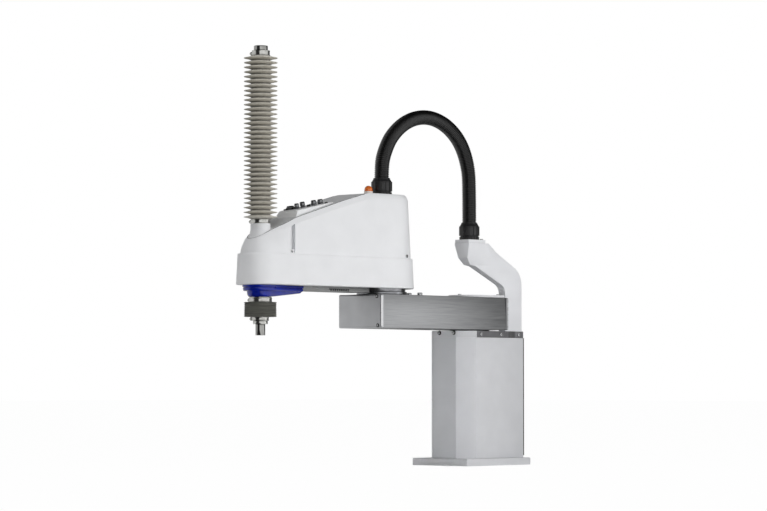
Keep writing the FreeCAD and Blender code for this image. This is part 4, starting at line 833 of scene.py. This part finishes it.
def make_cover_edge_shade(spokes, columns):
    """A thin dark grey strip along the sloping top's crisp edge and round the nose: a painted shadow line."""
    around = list(zip(spokes, columns))
    rear = next(k for k, spoke in enumerate(spokes) if spoke[0] == 0)
    loops = []
    for spoke, column in around[rear:] + around[:rear]:
        if spoke[0] == 0 or (spoke[0] is None and spoke[1] < SLANT_GROWS[1]):
            continue
        x, y, z = column[1 + len(WALL_SHARES) + CRISP_STEP]
        loops.append([(x + spoke[2] * out, y + spoke[3] * out, z + up) for out, up in EDGE_SHADE_SECTION])
    dress(solid("cover_seam", loops, EDGE_SHADE_PAINT, 30), "arm_2")


def make_cover():
    """Upper cover: drafted walls, an edge all round, a sloping top and the bellows neck."""
    spokes = hull_spokes(COVER_REAR[0][1], COVER_NOSE[0][1], {*range(370, 800, 15), *(x for x, _ in GROOVE)})
    columns = [cover_column(spoke) for spoke in spokes]
    make_cover_edge_shade(spokes, columns)
    shell = outward(ring_shell("cover_shell", list(zip(*columns)), WHITE_PAINT, closed_ends=False))
    low, high = box_mm("upper_bellows_foot_clamp")
    profile = [
        (29.5, 590), (28.0, 606), (25.8, 616), (25.5, low.z), (24, low.z), (24, high.z), (20, high.z), (20, 590),
    ]
    neck = lathe("cover_neck", rounded(profile, 0.6), (SHAFT_X, 0), WHITE_PAINT)
    stand_in(joined("arm_2_cover_finished", [shell, neck], 30), "arm_2_cover")


def make_housing():
    """Lower housing: drafted walls with soft edges, and its flat floor."""
    low, high = box_mm("arm_2_housing")
    foot, top = low.z, high.z
    rear, nose, draft = 86.0, 62.4, 3.7
    spokes = hull_spokes(rear, nose, range(380, 800, 15))
    rows = [(30, foot + 9.9), (30, foot), (2.6, foot), (1.3, foot + 0.35), (0.4, foot + 1.2), (0.05, foot + 2.6)]
    rows += [(draft * t, foot + t * (top - foot)) for t in (0.15, 0.3, 0.5, 0.7, 0.9, 0.975)]
    rows += [
        (draft + 0.25, top - 0.9), (draft + 0.7, top - 0.3), (draft + 1.5, top), (draft + 7.5, top),
        (draft + 7.5, foot + 10),
    ]
    loops = [[spoke_point(s, rear, nose, inset, z) for s in spokes] for inset, z in rows]
    stand_in(solid("arm_2_housing_finished", loops, WHITE_PAINT, 40), "arm_2_housing")


make_cover()
make_housing()

BLUE_TAIL_X, BLUE_RISE = 668.0, 12.0
# The blue cover from its top edge down: radius at the shaft, at the tail, height under the top,
# and the share of the rise that its small end takes.
BLUE_ROWS = (
    (40, 14, 0, 0), (46.6, 17.4, 0, 0), (46.9, 17.6, 0.8, 0), (45.9, 16.8, 5.2, 0), (45.2, 16.2, 5.8, 0),
    (43.6, 14.9, 6.4, 0), (43.5, 14.8, 7.6, 0), (45.0, 16.0, 8.2, 0), (45.2, 16.1, 8.8, 0), (44.0, 15.0, 14.0, 0.05),
    (43.4, 14.5, 15.0, 0.06), (42.2, 13.6, 15.5, 0.08), (35.6, 12.6, 15.7, 0.1), (34.9, 12.2, 16.2, 0.12),
    (34.2, 11.6, 21, 0.45), (33.4, 11.0, 25.5, 0.8), (32.2, 10.2, 28.4, 0.96), (30.0, 8.6, 30.2, 1), (27.0, 6.4, 31, 1),
)
BLUE_LUGS = ((SHAFT_X - 14, 44.0, 6), (BLUE_TAIL_X - 2, 16.2, 5))  # place along X, across, and width


def two_circle_loop(x0, r0, x1, r1, z, lift):
    """A closed loop round two circles on the X axis and their tangents; lift raises its small end."""
    lean = math.asin((r1 - r0) / (x1 - x0))
    half_turn, steps, shares = math.pi / 2 + lean, 28, (0.2, 0.4, 0.6, 0.8)

    def arc(x, r, start, turn, count):
        angles = [start + turn * i / count for i in range(count + 1)]
        return [(x + r * math.cos(a), r * math.sin(a)) for a in angles]

    def flank(side, share):
        r = r1 + (r0 - r1) * share
        return (x1 + (x0 - x1) * share - math.sin(lean) * r, side * math.cos(lean) * r)

    loop = arc(x1, r1, -half_turn, 2 * half_turn, steps * 2) + [flank(1, share) for share in shares]
    loop += arc(x0, r0, half_turn, 2 * math.pi - 2 * half_turn, steps) + [flank(-1, s) for s in reversed(shares)]
    start = x1 - r1 * 0.4
    return [(x, y, z + lift * min(1.0, max(0.0, (start - x) / (start - x0 + r0)))) for x, y in loop]


def make_shaft_cover():
    """Blue moulding: two lipped bands, a body whose underside rises to the tail, and small lugs."""
    low, high = box_mm("shaft_cover")
    loops = [
        two_circle_loop(BLUE_TAIL_X, end, SHAFT_X, body, high.z - down, BLUE_RISE * share)
        for body, end, down, share in BLUE_ROWS
    ]
    loops += [two_circle_loop(BLUE_TAIL_X, 5.2, SHAFT_X, 26, z, BLUE_RISE) for z in (low.z, low.z + 6)]
    parts = [outward(ring_shell("blue_shell", loops, BLUE_PLASTIC))]
    for side in (1, -1):
        for x, y, wide in BLUE_LUGS:
            near, far = (x - wide / 2, side * (y - 2), high.z - 7.6), (x + wide / 2, side * (y + 1.2), high.z - 0.6)
            parts.append(rounded_block("blue_lug", near, far, 0.8, BLUE_PLASTIC))
    stand_in(joined("blue_shaft_cover", parts, 32), "shaft_cover")


make_shaft_cover()


# Screws, the channel's painted shade, and clamps

def islands(node):
    """Middle and size of each separate solid in a CAD node, in millimetres."""
    bm = bmesh.new()
    bm.from_mesh(NODES[node].data)
    bmesh.ops.remove_doubles(bm, verts=bm.verts, dist=0.01 * MM)
    left, found = set(bm.verts), []
    while left:
        todo, group = [left.pop()], []
        while todo:
            vert = todo.pop()
            group.append(vert.co.copy())
            others = {edge.other_vert(vert) for edge in vert.link_edges} & left
            left -= others
            todo += others
        low, high = (Vector([pick(c[k] for c in group) for k in range(3)]) / MM for pick in (min, max))
        found.append(((low + high) / 2, high - low))
    bm.free()
    return sorted(found, key=lambda f: tuple(f[0]))


def screw_head():
    """A cap-screw head, 1 m across and 1 m tall, with a hexagon socket."""
    steps, bevel, socket = 24, 0.09, 0.26
    rings = [(0.5, 0.0), (0.5, 1 - 2 * bevel), (0.5 - bevel * 0.4, 1 - bevel * 0.5), (0.5 - bevel, 1.0)]
    loops = [circle(r / MM, z / MM, steps) for r, z in rings]
    for z in (1.0, 0.45):
        loop = []
        for x, y, _z in circle(1, 0, steps):
            part = math.atan2(y, x) % (math.pi / 3) - math.pi / 6
            r = socket * math.cos(math.pi / 6) / math.cos(part) / MM
            loop.append((r * x, r * y, z / MM))
        loops.append(loop)
    return solid("screw_head", loops, SCREW_METAL, 30)


HEAD = screw_head()


def set_screws(name, feet, ways, sizes):
    """Cap screws that stand on the given feet, in millimetres, each along its way."""
    base = mesh_object(name + "_places", feet, [], SCREW_METAL)
    for label, values in (("facing", ways), ("size", [Vector(size) * MM for size in sizes])):
        attribute = base.data.attributes.new(label, "FLOAT_VECTOR", "POINT")
        for item, value in zip(attribute.data, values):
            item.vector = value
    return sharp_above(grown(name, "scatter", base, SCREW_METAL, Piece=HEAD), 30)


def make_screws(node, facing, sunk=None):
    """Cap screws in the places of the node's solids; facing gives a solid's direction. With sunk, the
    heads that face along X are smaller by that share and stand on black discs, painted counterbore shade."""
    shade_disc_share, shade_disc_thick, slanted_head = 0.66, 0.4, 2.0
    feet, ways, sizes, shade_discs = [], [], [], []
    for middle, size in islands(node):
        way = Vector(facing(middle, size))
        square = max(map(abs, way)) > 0.99
        tall = sum(abs(w) * s for w, s in zip(way, size)) if square else slanted_head
        across = max(size) if square else size.z
        feet.append(middle - way * tall / 2)
        ways.append(way)
        # Black discs under these heads: painted shade for counterbores.
        if sunk and abs(way.x) > 0.9:
            wide, deep = across * shade_disc_share, shade_disc_thick
            recess = lathe("recess", [(0.01, 0), (wide, 0), (wide, deep), (0.01, deep)], (0, 0), PLUG_PLASTIC, 24)
            turn = way.to_track_quat("Z", "Y").to_matrix().to_4x4()
            recess.data.transform(Matrix.Translation(feet[-1] * MM) @ turn)
            shade_discs.append(recess)
            across *= sunk
        sizes.append((across, across, tall))
    if shade_discs:
        dress(joined(node + "_recesses", shade_discs, 30), body_name(node))
    stand_in(set_screws(node + "_finished", feet, ways, sizes), node)


def by_thinnest(centre):
    """Faces along the solid's shortest side, away from a centre."""

    def facing(middle, size):
        k = min(range(3), key=lambda i: size[i])
        way = [0, 0, 0]
        way[k] = 1 if middle[k] > centre[k] else -1
        return way

    return facing


make_screws("base_screws", by_thinnest((-10, 0, 300)))
make_screws("flange_bolts", lambda middle, size: (1, 0, 0), sunk=0.8)
make_screws("arm_1_screws", by_thinnest((180, 0, 415)), sunk=0.7)
make_screws("elbow_stop_bolts", lambda middle, size: (0, 0, 1))
make_screws("cover_screws", lambda middle, size: Vector((middle.x - ELBOW_X, middle.y, 0)).normalized())


def flank_spoke(x, side):
    return (None, x, math.sin(COVER_LEAN), side * math.cos(COVER_LEAN))


def make_channel_shade():
    """A grey strip down the step of each flank's channel: painted shade on the step's face."""
    parts = []
    for side in (1, -1):
        spoke, loops = flank_spoke(GROOVE[1][0], side), []
        for z in (GROOVE_BOTTOM + 0.5 + 8.0 * k for k in range(10)):
            x, y = leaned(spoke, spoke_point(spoke, *cover_radii(z), 0, z), z)
            near, far = y - side * 0.8, y - side * 5.6
            loops.append([(x - 0.3, near, z), (x + 0.5, near, z), (x + 0.5, far, z), (x - 0.3, far, z)])
        parts.append(outward(ring_shell("channel_seal", loops, CHANNEL_SHADE_PAINT)))
    dress(joined("channel_seals", parts, 30), "arm_2")


def make_extra_screws():
    """The screw at the foot of each flank's channel, and those that hold the rear panel."""
    x, z, sunk, channel_head = 739.0, 561.0, 4.0, (7.0, 7.0, 3.2)
    margin, inset, panel_head = 9, 7, (7, 7, 2.4)
    spokes = [flank_spoke(x, side) for side in (1, -1)]
    feet = [spoke_point(spoke, *cover_radii(z), sunk, z) for spoke in spokes]
    ways = [(spoke[2], spoke[3], 0) for spoke in spokes]
    dress(set_screws("channel_screws", feet, ways, [channel_head] * 2), "arm_2")
    low, high = box_mm("rear_panel")
    heights = (low.z + margin, (low.z + high.z) / 2, high.z - margin)
    feet = [(low.x, side * (high.y - inset), height) for side in (1, -1) for height in heights]
    dress(set_screws("rear_panel_screws", feet, [(-1, 0, 0)] * 6, [panel_head] * 6), "base")


make_channel_shade()
make_extra_screws()
bpy.data.objects.remove(HEAD)


def make_clamp(node):
    """A worm-drive band with rolled edges, and the worm's drum with its hexagon head."""
    low, high = box_mm(node)
    r, z0, z1 = (high.x - low.x) / 2, low.z, high.z
    profile = [
        (r - 1.5, z0), (r - 0.3, z0), (r, z0 + 1.2), (r - 0.5, z0 + 2.4), (r - 0.5, z1 - 2.4), (r, z1 - 1.2),
        (r - 0.3, z1), (r - 1.5, z1),
    ]
    band = lathe(node + "_band", rounded(profile, 0.5), (SHAFT_X, 0), CLAMP_METAL)
    middle, y = (z0 + z1) / 2, low.y + 4.7
    wide = min(4.5, (z1 - z0) / 2 - 0.4)
    drum = [
        (0.01, -8), (wide - 1.6, -8), (wide - 0.4, -7.2), (wide, -5.6), (wide, 3.8), (wide - 1.2, 4.8),
        (wide - 1.2, 5.8), (0.01, 5.8),
    ]
    head = [
        (0.01, 5.4), (wide - 0.4, 5.4), (wide, 6), (wide, 10.4), (wide - 0.7, 11.4), (1.8, 11.4), (1.6, 9.8),
        (0.01, 9.8),
    ]
    worm = [
        lathe(node + "_drum", rounded(drum, 0.4), (0, 0), CLAMP_METAL, 24),
        lathe(node + "_head", head, (0, 0), CLAMP_METAL, 6),
    ]
    turn = Matrix.Translation((SHAFT_X * MM, y * MM, middle * MM)) @ Matrix.Rotation(math.radians(90), 4, "Y")
    for piece in worm:
        piece.data.transform(turn)
    near, far = (SHAFT_X - 6.5, y, middle - wide + 0.5), (SHAFT_X + 3.5, 3 - r, middle + wide - 0.5)
    saddle = rounded_block(node + "_saddle", near, far, 1.2, CLAMP_METAL, 3)
    stand_in(joined(node + "_finished", [band, saddle] + worm, 32), node)


for clamp in ("upper_bellows_foot", "upper_bellows_head", "lower_bellows_head", "lower_bellows_foot"):
    make_clamp(clamp + "_clamp")


# The wedge's connectors. Their places are shares of its top, from its front to its rear, and
# distances across it.

WEDGE_FRONT, WEDGE_REAR = (700.0, 669.0), (568.0, 697.0)
WEDGE_FOOT, WEDGE_FLARE = 710.0, 5.0
# Each fitting: its place, and its width and height against the smallest one's.
FITTING_PLACES = ((0.242, 0, 1.0, 1.0), (0.40, 0, 1.06, 1.06), (0.614, 13, 1.12, 0.98), (0.795, 13, 1.16, 0.88))
# Each cap: its place, how far it stands ahead of it, its radius and its height.
CAP_PLACES = ((0.538, 8, 4.5, 5.5, 5.0), (0.155, -29, 4, 4.2, 3.0), (0.9, 24, 4, 4.2, 2.6), (0.70, -4, 0, 4.6, 3.4))
SOCKET_PLACE = (0.265, -20)


def on_wedge(made, share, side):
    """Turns a piece square to the wedge and stands it at its place there."""
    (x0, z0), (x1, z1) = WEDGE_FRONT, WEDGE_REAR
    place = Vector((x0 + (x1 - x0) * share, side, z0 + (z1 - z0) * share)) * MM
    made.data.transform(Matrix.Translation(place) @ Matrix.Rotation(math.atan2(z1 - z0, x0 - x1), 4, "Y"))
    return made


def make_wedge_foot():
    """The leaning foot of the sloping panel's front face."""
    half = box_mm("connector_panel")[1].y
    x, top = WEDGE_FRONT[0], WEDGE_FRONT[1] - 0.6
    low = blend_between(SLOPE, WEDGE_FOOT) - 0.8
    loops = []
    for t in (-1, -0.6, -0.2, 0.2, 0.6, 1):
        y, foot_y = half * t, (half + WEDGE_FLARE) * t
        loops.append([(x + 0.2, y, top), (WEDGE_FOOT, foot_y, low), (x - 3, foot_y, low - 1), (x - 3, y, top - 0.5)])
    dress(solid("sloping_panel_foot", loops, WEDGE_PAINT, 20), "arm_2")


def make_air_fittings():
    """Push-in fittings: a hexagon foot, a plated barrel and a black release ring round its mouth."""
    foot = [(0.01, -0.3), (6.5, -0.3), (6.5, 2.6), (5.7, 3.2), (0.01, 3.2)]
    barrel = rounded(
        [(0.01, 3), (5, 3), (5, 4.2), (6.3, 4.6), (6.3, 12), (5.6, 12.6), (4.6, 12.6), (4.6, 11), (0.01, 11)], 0.4
    )
    mouth = rounded(
        [(0.01, 10.8), (4.2, 10.8), (4.2, 12.8), (5.6, 13), (5.6, 14), (3.1, 14), (2.9, 11.6), (0.01, 11.6)], 0.3
    )
    metal, rings = [], []
    for share, side, wide, tall in FITTING_PLACES:
        for profile, kept, material, steps in (
            (foot, metal, FITTING_METAL, 6), (barrel, metal, FITTING_METAL, 32), (mouth, rings, GLAND_PLASTIC, 32),
        ):
            piece = lathe("fitting", [(r * wide, z * tall) for r, z in profile], (0, 0), material, steps)
            kept.append(on_wedge(piece, share, side))
    stand_in(joined("air_fittings_finished", metal, 32), "air_fittings")
    dress(joined("air_fitting_rings", rings, 32), "arm_2")


def make_signal_sockets():
    """A signal socket with its plated frame and jack screws, and round connector caps."""
    black = [
        rounded_block("socket_foot", (0, -11, -0.4), (14, 11, 4.4), 1.2, PLUG_PLASTIC, 3),
        rounded_block("socket_shell", (1.6, -8.8, 5.6), (12.4, 8.8, 9), 1.6, PLUG_PLASTIC, 3),
    ]
    plated = [rounded_block("socket_frame", (0.4, -10.8, 4.2), (13.6, 10.8, 5.8), 0.5, FITTING_METAL)]
    jack = [(0.01, 5.4), (1.9, 5.4), (1.9, 8.2), (1.4, 8.8), (0.01, 8.8)]
    plated += [lathe("jack", jack, (7, end * 9.4), FITTING_METAL, 6) for end in (-1, 1)]
    for piece in black + plated:
        on_wedge(piece, *SOCKET_PLACE)
    for share, side, ahead, r, tall in CAP_PLACES:
        profile = [
            (0.01, -0.3), (r, -0.3), (r, tall * 0.45), (r - 0.6, tall * 0.5), (r - 0.6, tall * 0.85), (r - 1.4, tall),
            (0.01, tall),
        ]
        black.append(on_wedge(lathe("cap", rounded(profile, 0.3), (ahead, 0), PLUG_PLASTIC, 28), share, side))
    stand_in(joined("signal_sockets_finished", black, 32), "signal_sockets")
    dress(joined("signal_socket_frame", plated, 32), "arm_2")


make_wedge_foot()
make_air_fittings()
make_signal_sockets()


# Small dressing pieces

def make_duct_lid_shadow():
    """A black band under the duct's lid: a painted shadow in the gap beneath it."""
    low, high = box_mm("duct_lid")
    made = linked("duct_gasket", NODES["duct_lid"].data.copy())
    repainted(made.data, GLAND_PLASTIC)
    middle = (low + high) / 2
    share_x, share_y, drop, tall = 0.985, 0.975, 2.4, 2.8
    for vertex in made.data.vertices:
        x, y, z = vertex.co / MM
        x, y = middle.x + (x - middle.x) * share_x, middle.y + (y - middle.y) * share_y
        vertex.co = Vector((x, y, low.z - drop + (z - low.z) / (high.z - low.z) * tall)) * MM
    dress(made, "base")


def make_vent_slot_shade():
    """Black blocks in the slots of each side of the vent cover: painted shade inside the slots."""
    low, high = box_mm("vent_cover")
    slots, wide, deep, proud, foot, top = range(510, 582, 8), 5.4, 3, 0.15, low.z + 1.2, low.z + 6.6
    parts = [
        rounded_block(
            "liner", (x, side * (high.y - deep), foot), (x + wide, side * (high.y + proud), top), 0.3,
            PLUG_PLASTIC,
        )
        for side in (1, -1) for x in slots
    ]
    dress(joined("vent_filter", parts), "arm_2")


make_duct_lid_shadow()
make_vent_slot_shade()

CAP_EDGE, CAP_CORNER = 5.0, 3.0
END_CAPS = (("arm_1_front_cap", 1), ("arm_1_rear_cap", -1))


def make_end_cap(node, way):
    """A cast end cap: a plate with rounded corners, its outer edge rounded and its inner one crisp."""
    low, high = box_mm(node)
    inner, outer = (low.x, high.x) if way > 0 else (high.x, low.x)
    edge, steps = CAP_EDGE, 6
    rows = [(inner, 0.0), (outer - way * edge, 0.0)]
    for k in range(1, steps + 1):
        turn = math.pi / 2 * k / steps
        rows.append((outer - way * edge * (1 - math.sin(turn)), edge * (1 - math.cos(turn))))
    loops = []
    for x, inset in rows:
        loop, foot = [], max(CAP_CORNER, inset + 0.5)
        reach = foot - inset
        corners = ((1, high.z - foot, 0), (-1, high.z - foot, 90), (-1, low.z + foot, 180), (1, low.z + foot, 270))
        for side, z, start in corners:
            for turn in (math.radians(start + 90 * k / steps) for k in range(steps + 1)):
                loop.append((x, side * (high.y - foot) + reach * math.cos(turn), z + reach * math.sin(turn)))
        loops.append(loop)
    stand_in(solid(node + "_finished", loops, CAP_METAL, 35), node)


def make_cap_highlights():
    """Lighter, smoother metal along the upright edges of both end caps: a painted highlight."""
    parts = []
    for node, way in END_CAPS:
        low, high = box_mm(node)
        x = (high.x - CAP_EDGE) if way > 0 else (low.x + CAP_EDGE)
        for side in (1, -1):
            section = [
                (x + way * reach * math.cos(turn), side * (high.y - CAP_EDGE + reach * math.sin(turn)))
                for reach, turns in ((CAP_EDGE + 0.08, range(28, 89, 6)), (CAP_EDGE - 0.8, range(88, 27, -6)))
                for turn in map(math.radians, turns)
            ]
            loops = [[(px, py, z) for px, py in section] for z in (low.z + CAP_EDGE, high.z - CAP_EDGE)]
            parts.append(outward(ring_shell("cap_edge", loops, CAP_HIGHLIGHT_METAL)))
    dress(joined("cap_edges", parts, 35), "arm_1")


def make_strip_joints_and_shade():
    """The dark joint in each dark strip on the flange, and before it a darker stretch of painted shade."""
    low, high = box_mm("flange_strips")
    parts = [
        rounded_block(
            "inlay", (x0, side * (high.y - 1.5), low.z + 0.3), (x1, side * (high.y + proud), high.z - 0.3), 0.1,
            JOINT_AND_SHADE_PAINT,
        )
        for side in (1, -1) for x0, x1, proud in ((-96, -94, -0.2), (-94, -70, 0.12))
    ]
    dress(joined("strip_inlays", parts), "base")


for cap, way in END_CAPS:
    make_end_cap(cap, way)
make_cap_highlights()
make_strip_joints_and_shade()


# Carried-over solids: those that show get softened edges of a width in millimetres

SOFTENED = {
    "base_plate": (BASE_PAINT, 1.2),
    "column_shell": (BASE_PAINT, 1.5),
    "top_flange": (BASE_PAINT, 1.0),
    "flange_strips": (STRIP_PAINT, 0.5),
    "rear_panel": (PANEL_PAINT, 0.8),
    "rear_sockets": (PLUG_PLASTIC, 1.2),
    "duct_body": (DUCT_PAINT, 3.0),
    "duct_lid": (DUCT_PAINT, 1.0),
    "first_output_flange": (FLANGE_METAL, 0.6),
    "arm_1_beam": (BEAM_METAL, 1.2),
    "hub_cover": (WHITE_PAINT, 2.0),
    "elbow_lower_flange": (FLANGE_METAL, 0.8),
    "elbow_gear_unit": (FLANGE_METAL, 0.8),
    "connector_panel": (WEDGE_PAINT, 1.5),
    "lamp_base": (LAMP_WHITE, 1.0),
    "lamp_dome": (LAMP_ORANGE, 0.3),
    "vent_cover": (VENT_PAINT, 0.5),
    "lower_bellows_seat": (CLAMP_METAL, 0.5),
    "head_collar": (CLAMP_METAL, 0.5),
    "foot_collar": (CLAMP_METAL, 0.5),
    "ball_screw_shaft": (SHAFT_METAL, 0.5),
    "top_cap": (SHAFT_METAL, 1.2),
    "shaft_collar": (CLAMP_METAL, 0.8),
}
for node, (material, width) in SOFTENED.items():
    softened(node, material, width)

# The vent cover's front end leans back towards its foot.
VENT_LEAN, VENT_LEAN_FROM = 22.0, 600.0
low, high = box_mm("vent_cover")
for vertex in bpy.data.objects["vent_cover_finished"].data.vertices:
    if vertex.co.x > VENT_LEAN_FROM * MM:
        drop = (high.z * MM - vertex.co.z) / ((high.z - low.z) * MM)
        vertex.co.x -= drop * VENT_LEAN * MM * (vertex.co.x / MM - VENT_LEAN_FROM) / (high.x - VENT_LEAN_FROM)

INSIDE = {
    MOTOR_PAINT: ("first_motor", "elbow_motor", "z_motor", "u_motor"),
    FLANGE_METAL: ("first_gear_unit",),
    SHAFT_METAL: ("spline_nut_bearing", "ball_nut_bearing", "spline_nut", "ball_nut"),
    BELT_RUBBER: ("u_belt", "z_belt"),
    FRAME_METAL: ("drive_frame", "u_motor_pulley", "z_motor_pulley"),
    BOARD_GREEN: ("circuit_board",),
}
for material, nodes in INSIDE.items():
    for node in nodes:
        repainted(NODES[node].data, material)


# Camera, light and floor

CAMERA_PLACE, CAMERA_WAY, CAMERA_TILT = (6.079, 5.462, 0.215), Vector((-0.7242, -0.6896, 0)), math.radians(2.53)
LENS, SENSOR, FARTHEST = 139.2, 36, 100
FLOOR_HALF, FLOOR_DEPTH, FLOOR_WHITE = 30, -0.0005, 0.985
# What bright metal mirrors, round the horizon: (share of a turn from -X towards -Y, brightness).
MIRRORED = (
    (0.00, 0.10), (0.15, 0.10), (0.18, 0.75), (0.42, 0.90), (0.45, 0.04), (0.57, 0.04), (0.60, 1.30), (0.68, 1.10),
    (0.895, 1.02), (0.935, 0.12), (1.00, 0.10),
)
# How the panels fade with steepness, and the studio's light with height: (from, to), (value, value).
PANELS_FADE = ((0.25, 0.65), (1.0, 0.05))
STUDIO_FADE = ((-0.1, 0.7), (0.52, 0.11))


def make_camera():
    camera = bpy.data.cameras.new("camera")
    camera.lens = LENS
    camera.sensor_width = SENSOR
    camera.clip_end = FARTHEST
    made = linked("camera", camera)
    made.location = CAMERA_PLACE
    way = CAMERA_WAY.normalized() * math.cos(CAMERA_TILT) + Vector((0, 0, 1)) * math.sin(CAMERA_TILT)
    made.rotation_euler = way.to_track_quat("-Z", "Y").to_euler()
    bpy.context.scene.camera = made


def studio_panels(tree, way):
    """The brightness of the panels that metal mirrors, in a direction. They end overhead and below."""
    parts = add(tree, "ShaderNodeSeparateXYZ", {"Vector": way}).outputs
    turn = maths(tree, "ARCTAN2", parts["Y"], parts["X"])
    panels = add(tree, "ShaderNodeValToRGB", {"Fac": ranged(tree, turn, (-math.pi, math.pi))})
    ramp = panels.color_ramp.elements
    while len(ramp) < len(MIRRORED):
        ramp.new(0.5)
    for stop, (place, value) in zip(ramp, MIRRORED):
        stop.position = place
        stop.color = (value, value, value, 1)
    height = ranged(tree, maths(tree, "ABSOLUTE", parts["Z"]), *PANELS_FADE)
    return maths(tree, "MULTIPLY", panels.outputs["Color"], height)


def make_floor():
    """A pale floor that shows as white and keeps a soft shadow."""
    material, tree, shader = surface("pale_floor", "#F2F2F2", 0.8, Specular_IOR_Level=0.0)
    half, z = FLOOR_HALF / MM, FLOOR_DEPTH / MM
    corners = [(-half, -half, z), (half, -half, z), (half, half, z), (-half, half, z)]
    floor = mesh_object("floor", corners, [(0, 1, 2, 3)], material)
    rays = add(tree, "ShaderNodeLightPath").outputs
    panels = studio_panels(tree, add(tree, "ShaderNodeTexCoord").outputs["Object"])
    glow = mixed(tree, rays["Is Glossy Ray"], 1.0, panels)
    white = add(tree, "ShaderNodeEmission", {"Color": (1, 1, 1, 1), "Strength": glow}).outputs["Emission"]
    seen = maths(tree, "MAXIMUM", rays["Is Camera Ray"], rays["Is Glossy Ray"])
    links = {0: maths(tree, "MULTIPLY", seen, FLOOR_WHITE), 1: shader.outputs["BSDF"], 2: white}
    mix = add(tree, "ShaderNodeMixShader", links)
    output = next(n for n in tree.nodes if n.type == "OUTPUT_MATERIAL")
    tree.links.new(mix.outputs["Shader"], output.inputs["Surface"])


def make_world():
    """White where the camera looks, a softly graded studio for light, and panels for reflections."""
    world = bpy.data.worlds.new("studio")
    world.use_nodes = True
    bpy.context.scene.world = world
    tree = world.node_tree
    tree.nodes.clear()
    way = add(tree, "ShaderNodeTexCoord").outputs["Generated"]
    height = add(tree, "ShaderNodeSeparateXYZ", {"Vector": way}).outputs["Z"]
    level = ranged(tree, height, *STUDIO_FADE)
    rays = add(tree, "ShaderNodeLightPath").outputs
    glossy = mixed(tree, rays["Is Glossy Ray"], level, studio_panels(tree, way))
    seen = mixed(tree, rays["Is Camera Ray"], glossy, 1.0)
    back = add(tree, "ShaderNodeBackground", {"Color": (1, 1, 1, 1), "Strength": seen})
    end = add(tree, "ShaderNodeOutputWorld")
    tree.links.new(back.outputs["Background"], end.inputs["Surface"])


def make_lamp(name, place, aim, size, power, lit=True, mirrored=False, spread=180):
    """A soft lamp; one that is not lit shows in reflections alone."""
    light = bpy.data.lights.new(name, "AREA")
    light.shape = "RECTANGLE"
    light.size, light.size_y = size
    light.spread = math.radians(spread)
    light.energy = power
    made = linked(name, light)
    made.location = place
    made.rotation_euler = (Vector(aim) - Vector(place)).to_track_quat("-Z", "Y").to_euler()
    made.visible_diffuse = lit
    made.visible_glossy = mirrored


make_camera()
make_floor()
make_world()
make_lamp("key", (-0.7, 4.2, 1.5), (0.2, 0, 0.5), (2.6, 2.0), 96)
make_lamp("fill", (3.4, 1.6, 0.35), (0.3, 0, 0.5), (1.6, 1.6), 12)
make_lamp("low", (3.4, 1.0, 0.12), (0.1, 0, 0.14), (0.5, 0.5), 0.34, spread=16)
make_lamp("top", (1.5, 0.1, 2.2), (0.6, 0, 0.6), (1.2, 1.2), 8)
make_lamp("strip", (-1.1, 2.2, 0.5), (0.3, 0, 0.45), (0.7, 1.0), 1.6, lit=False, mirrored=True)
bpy.context.scene.view_settings.view_transform = "Standard"
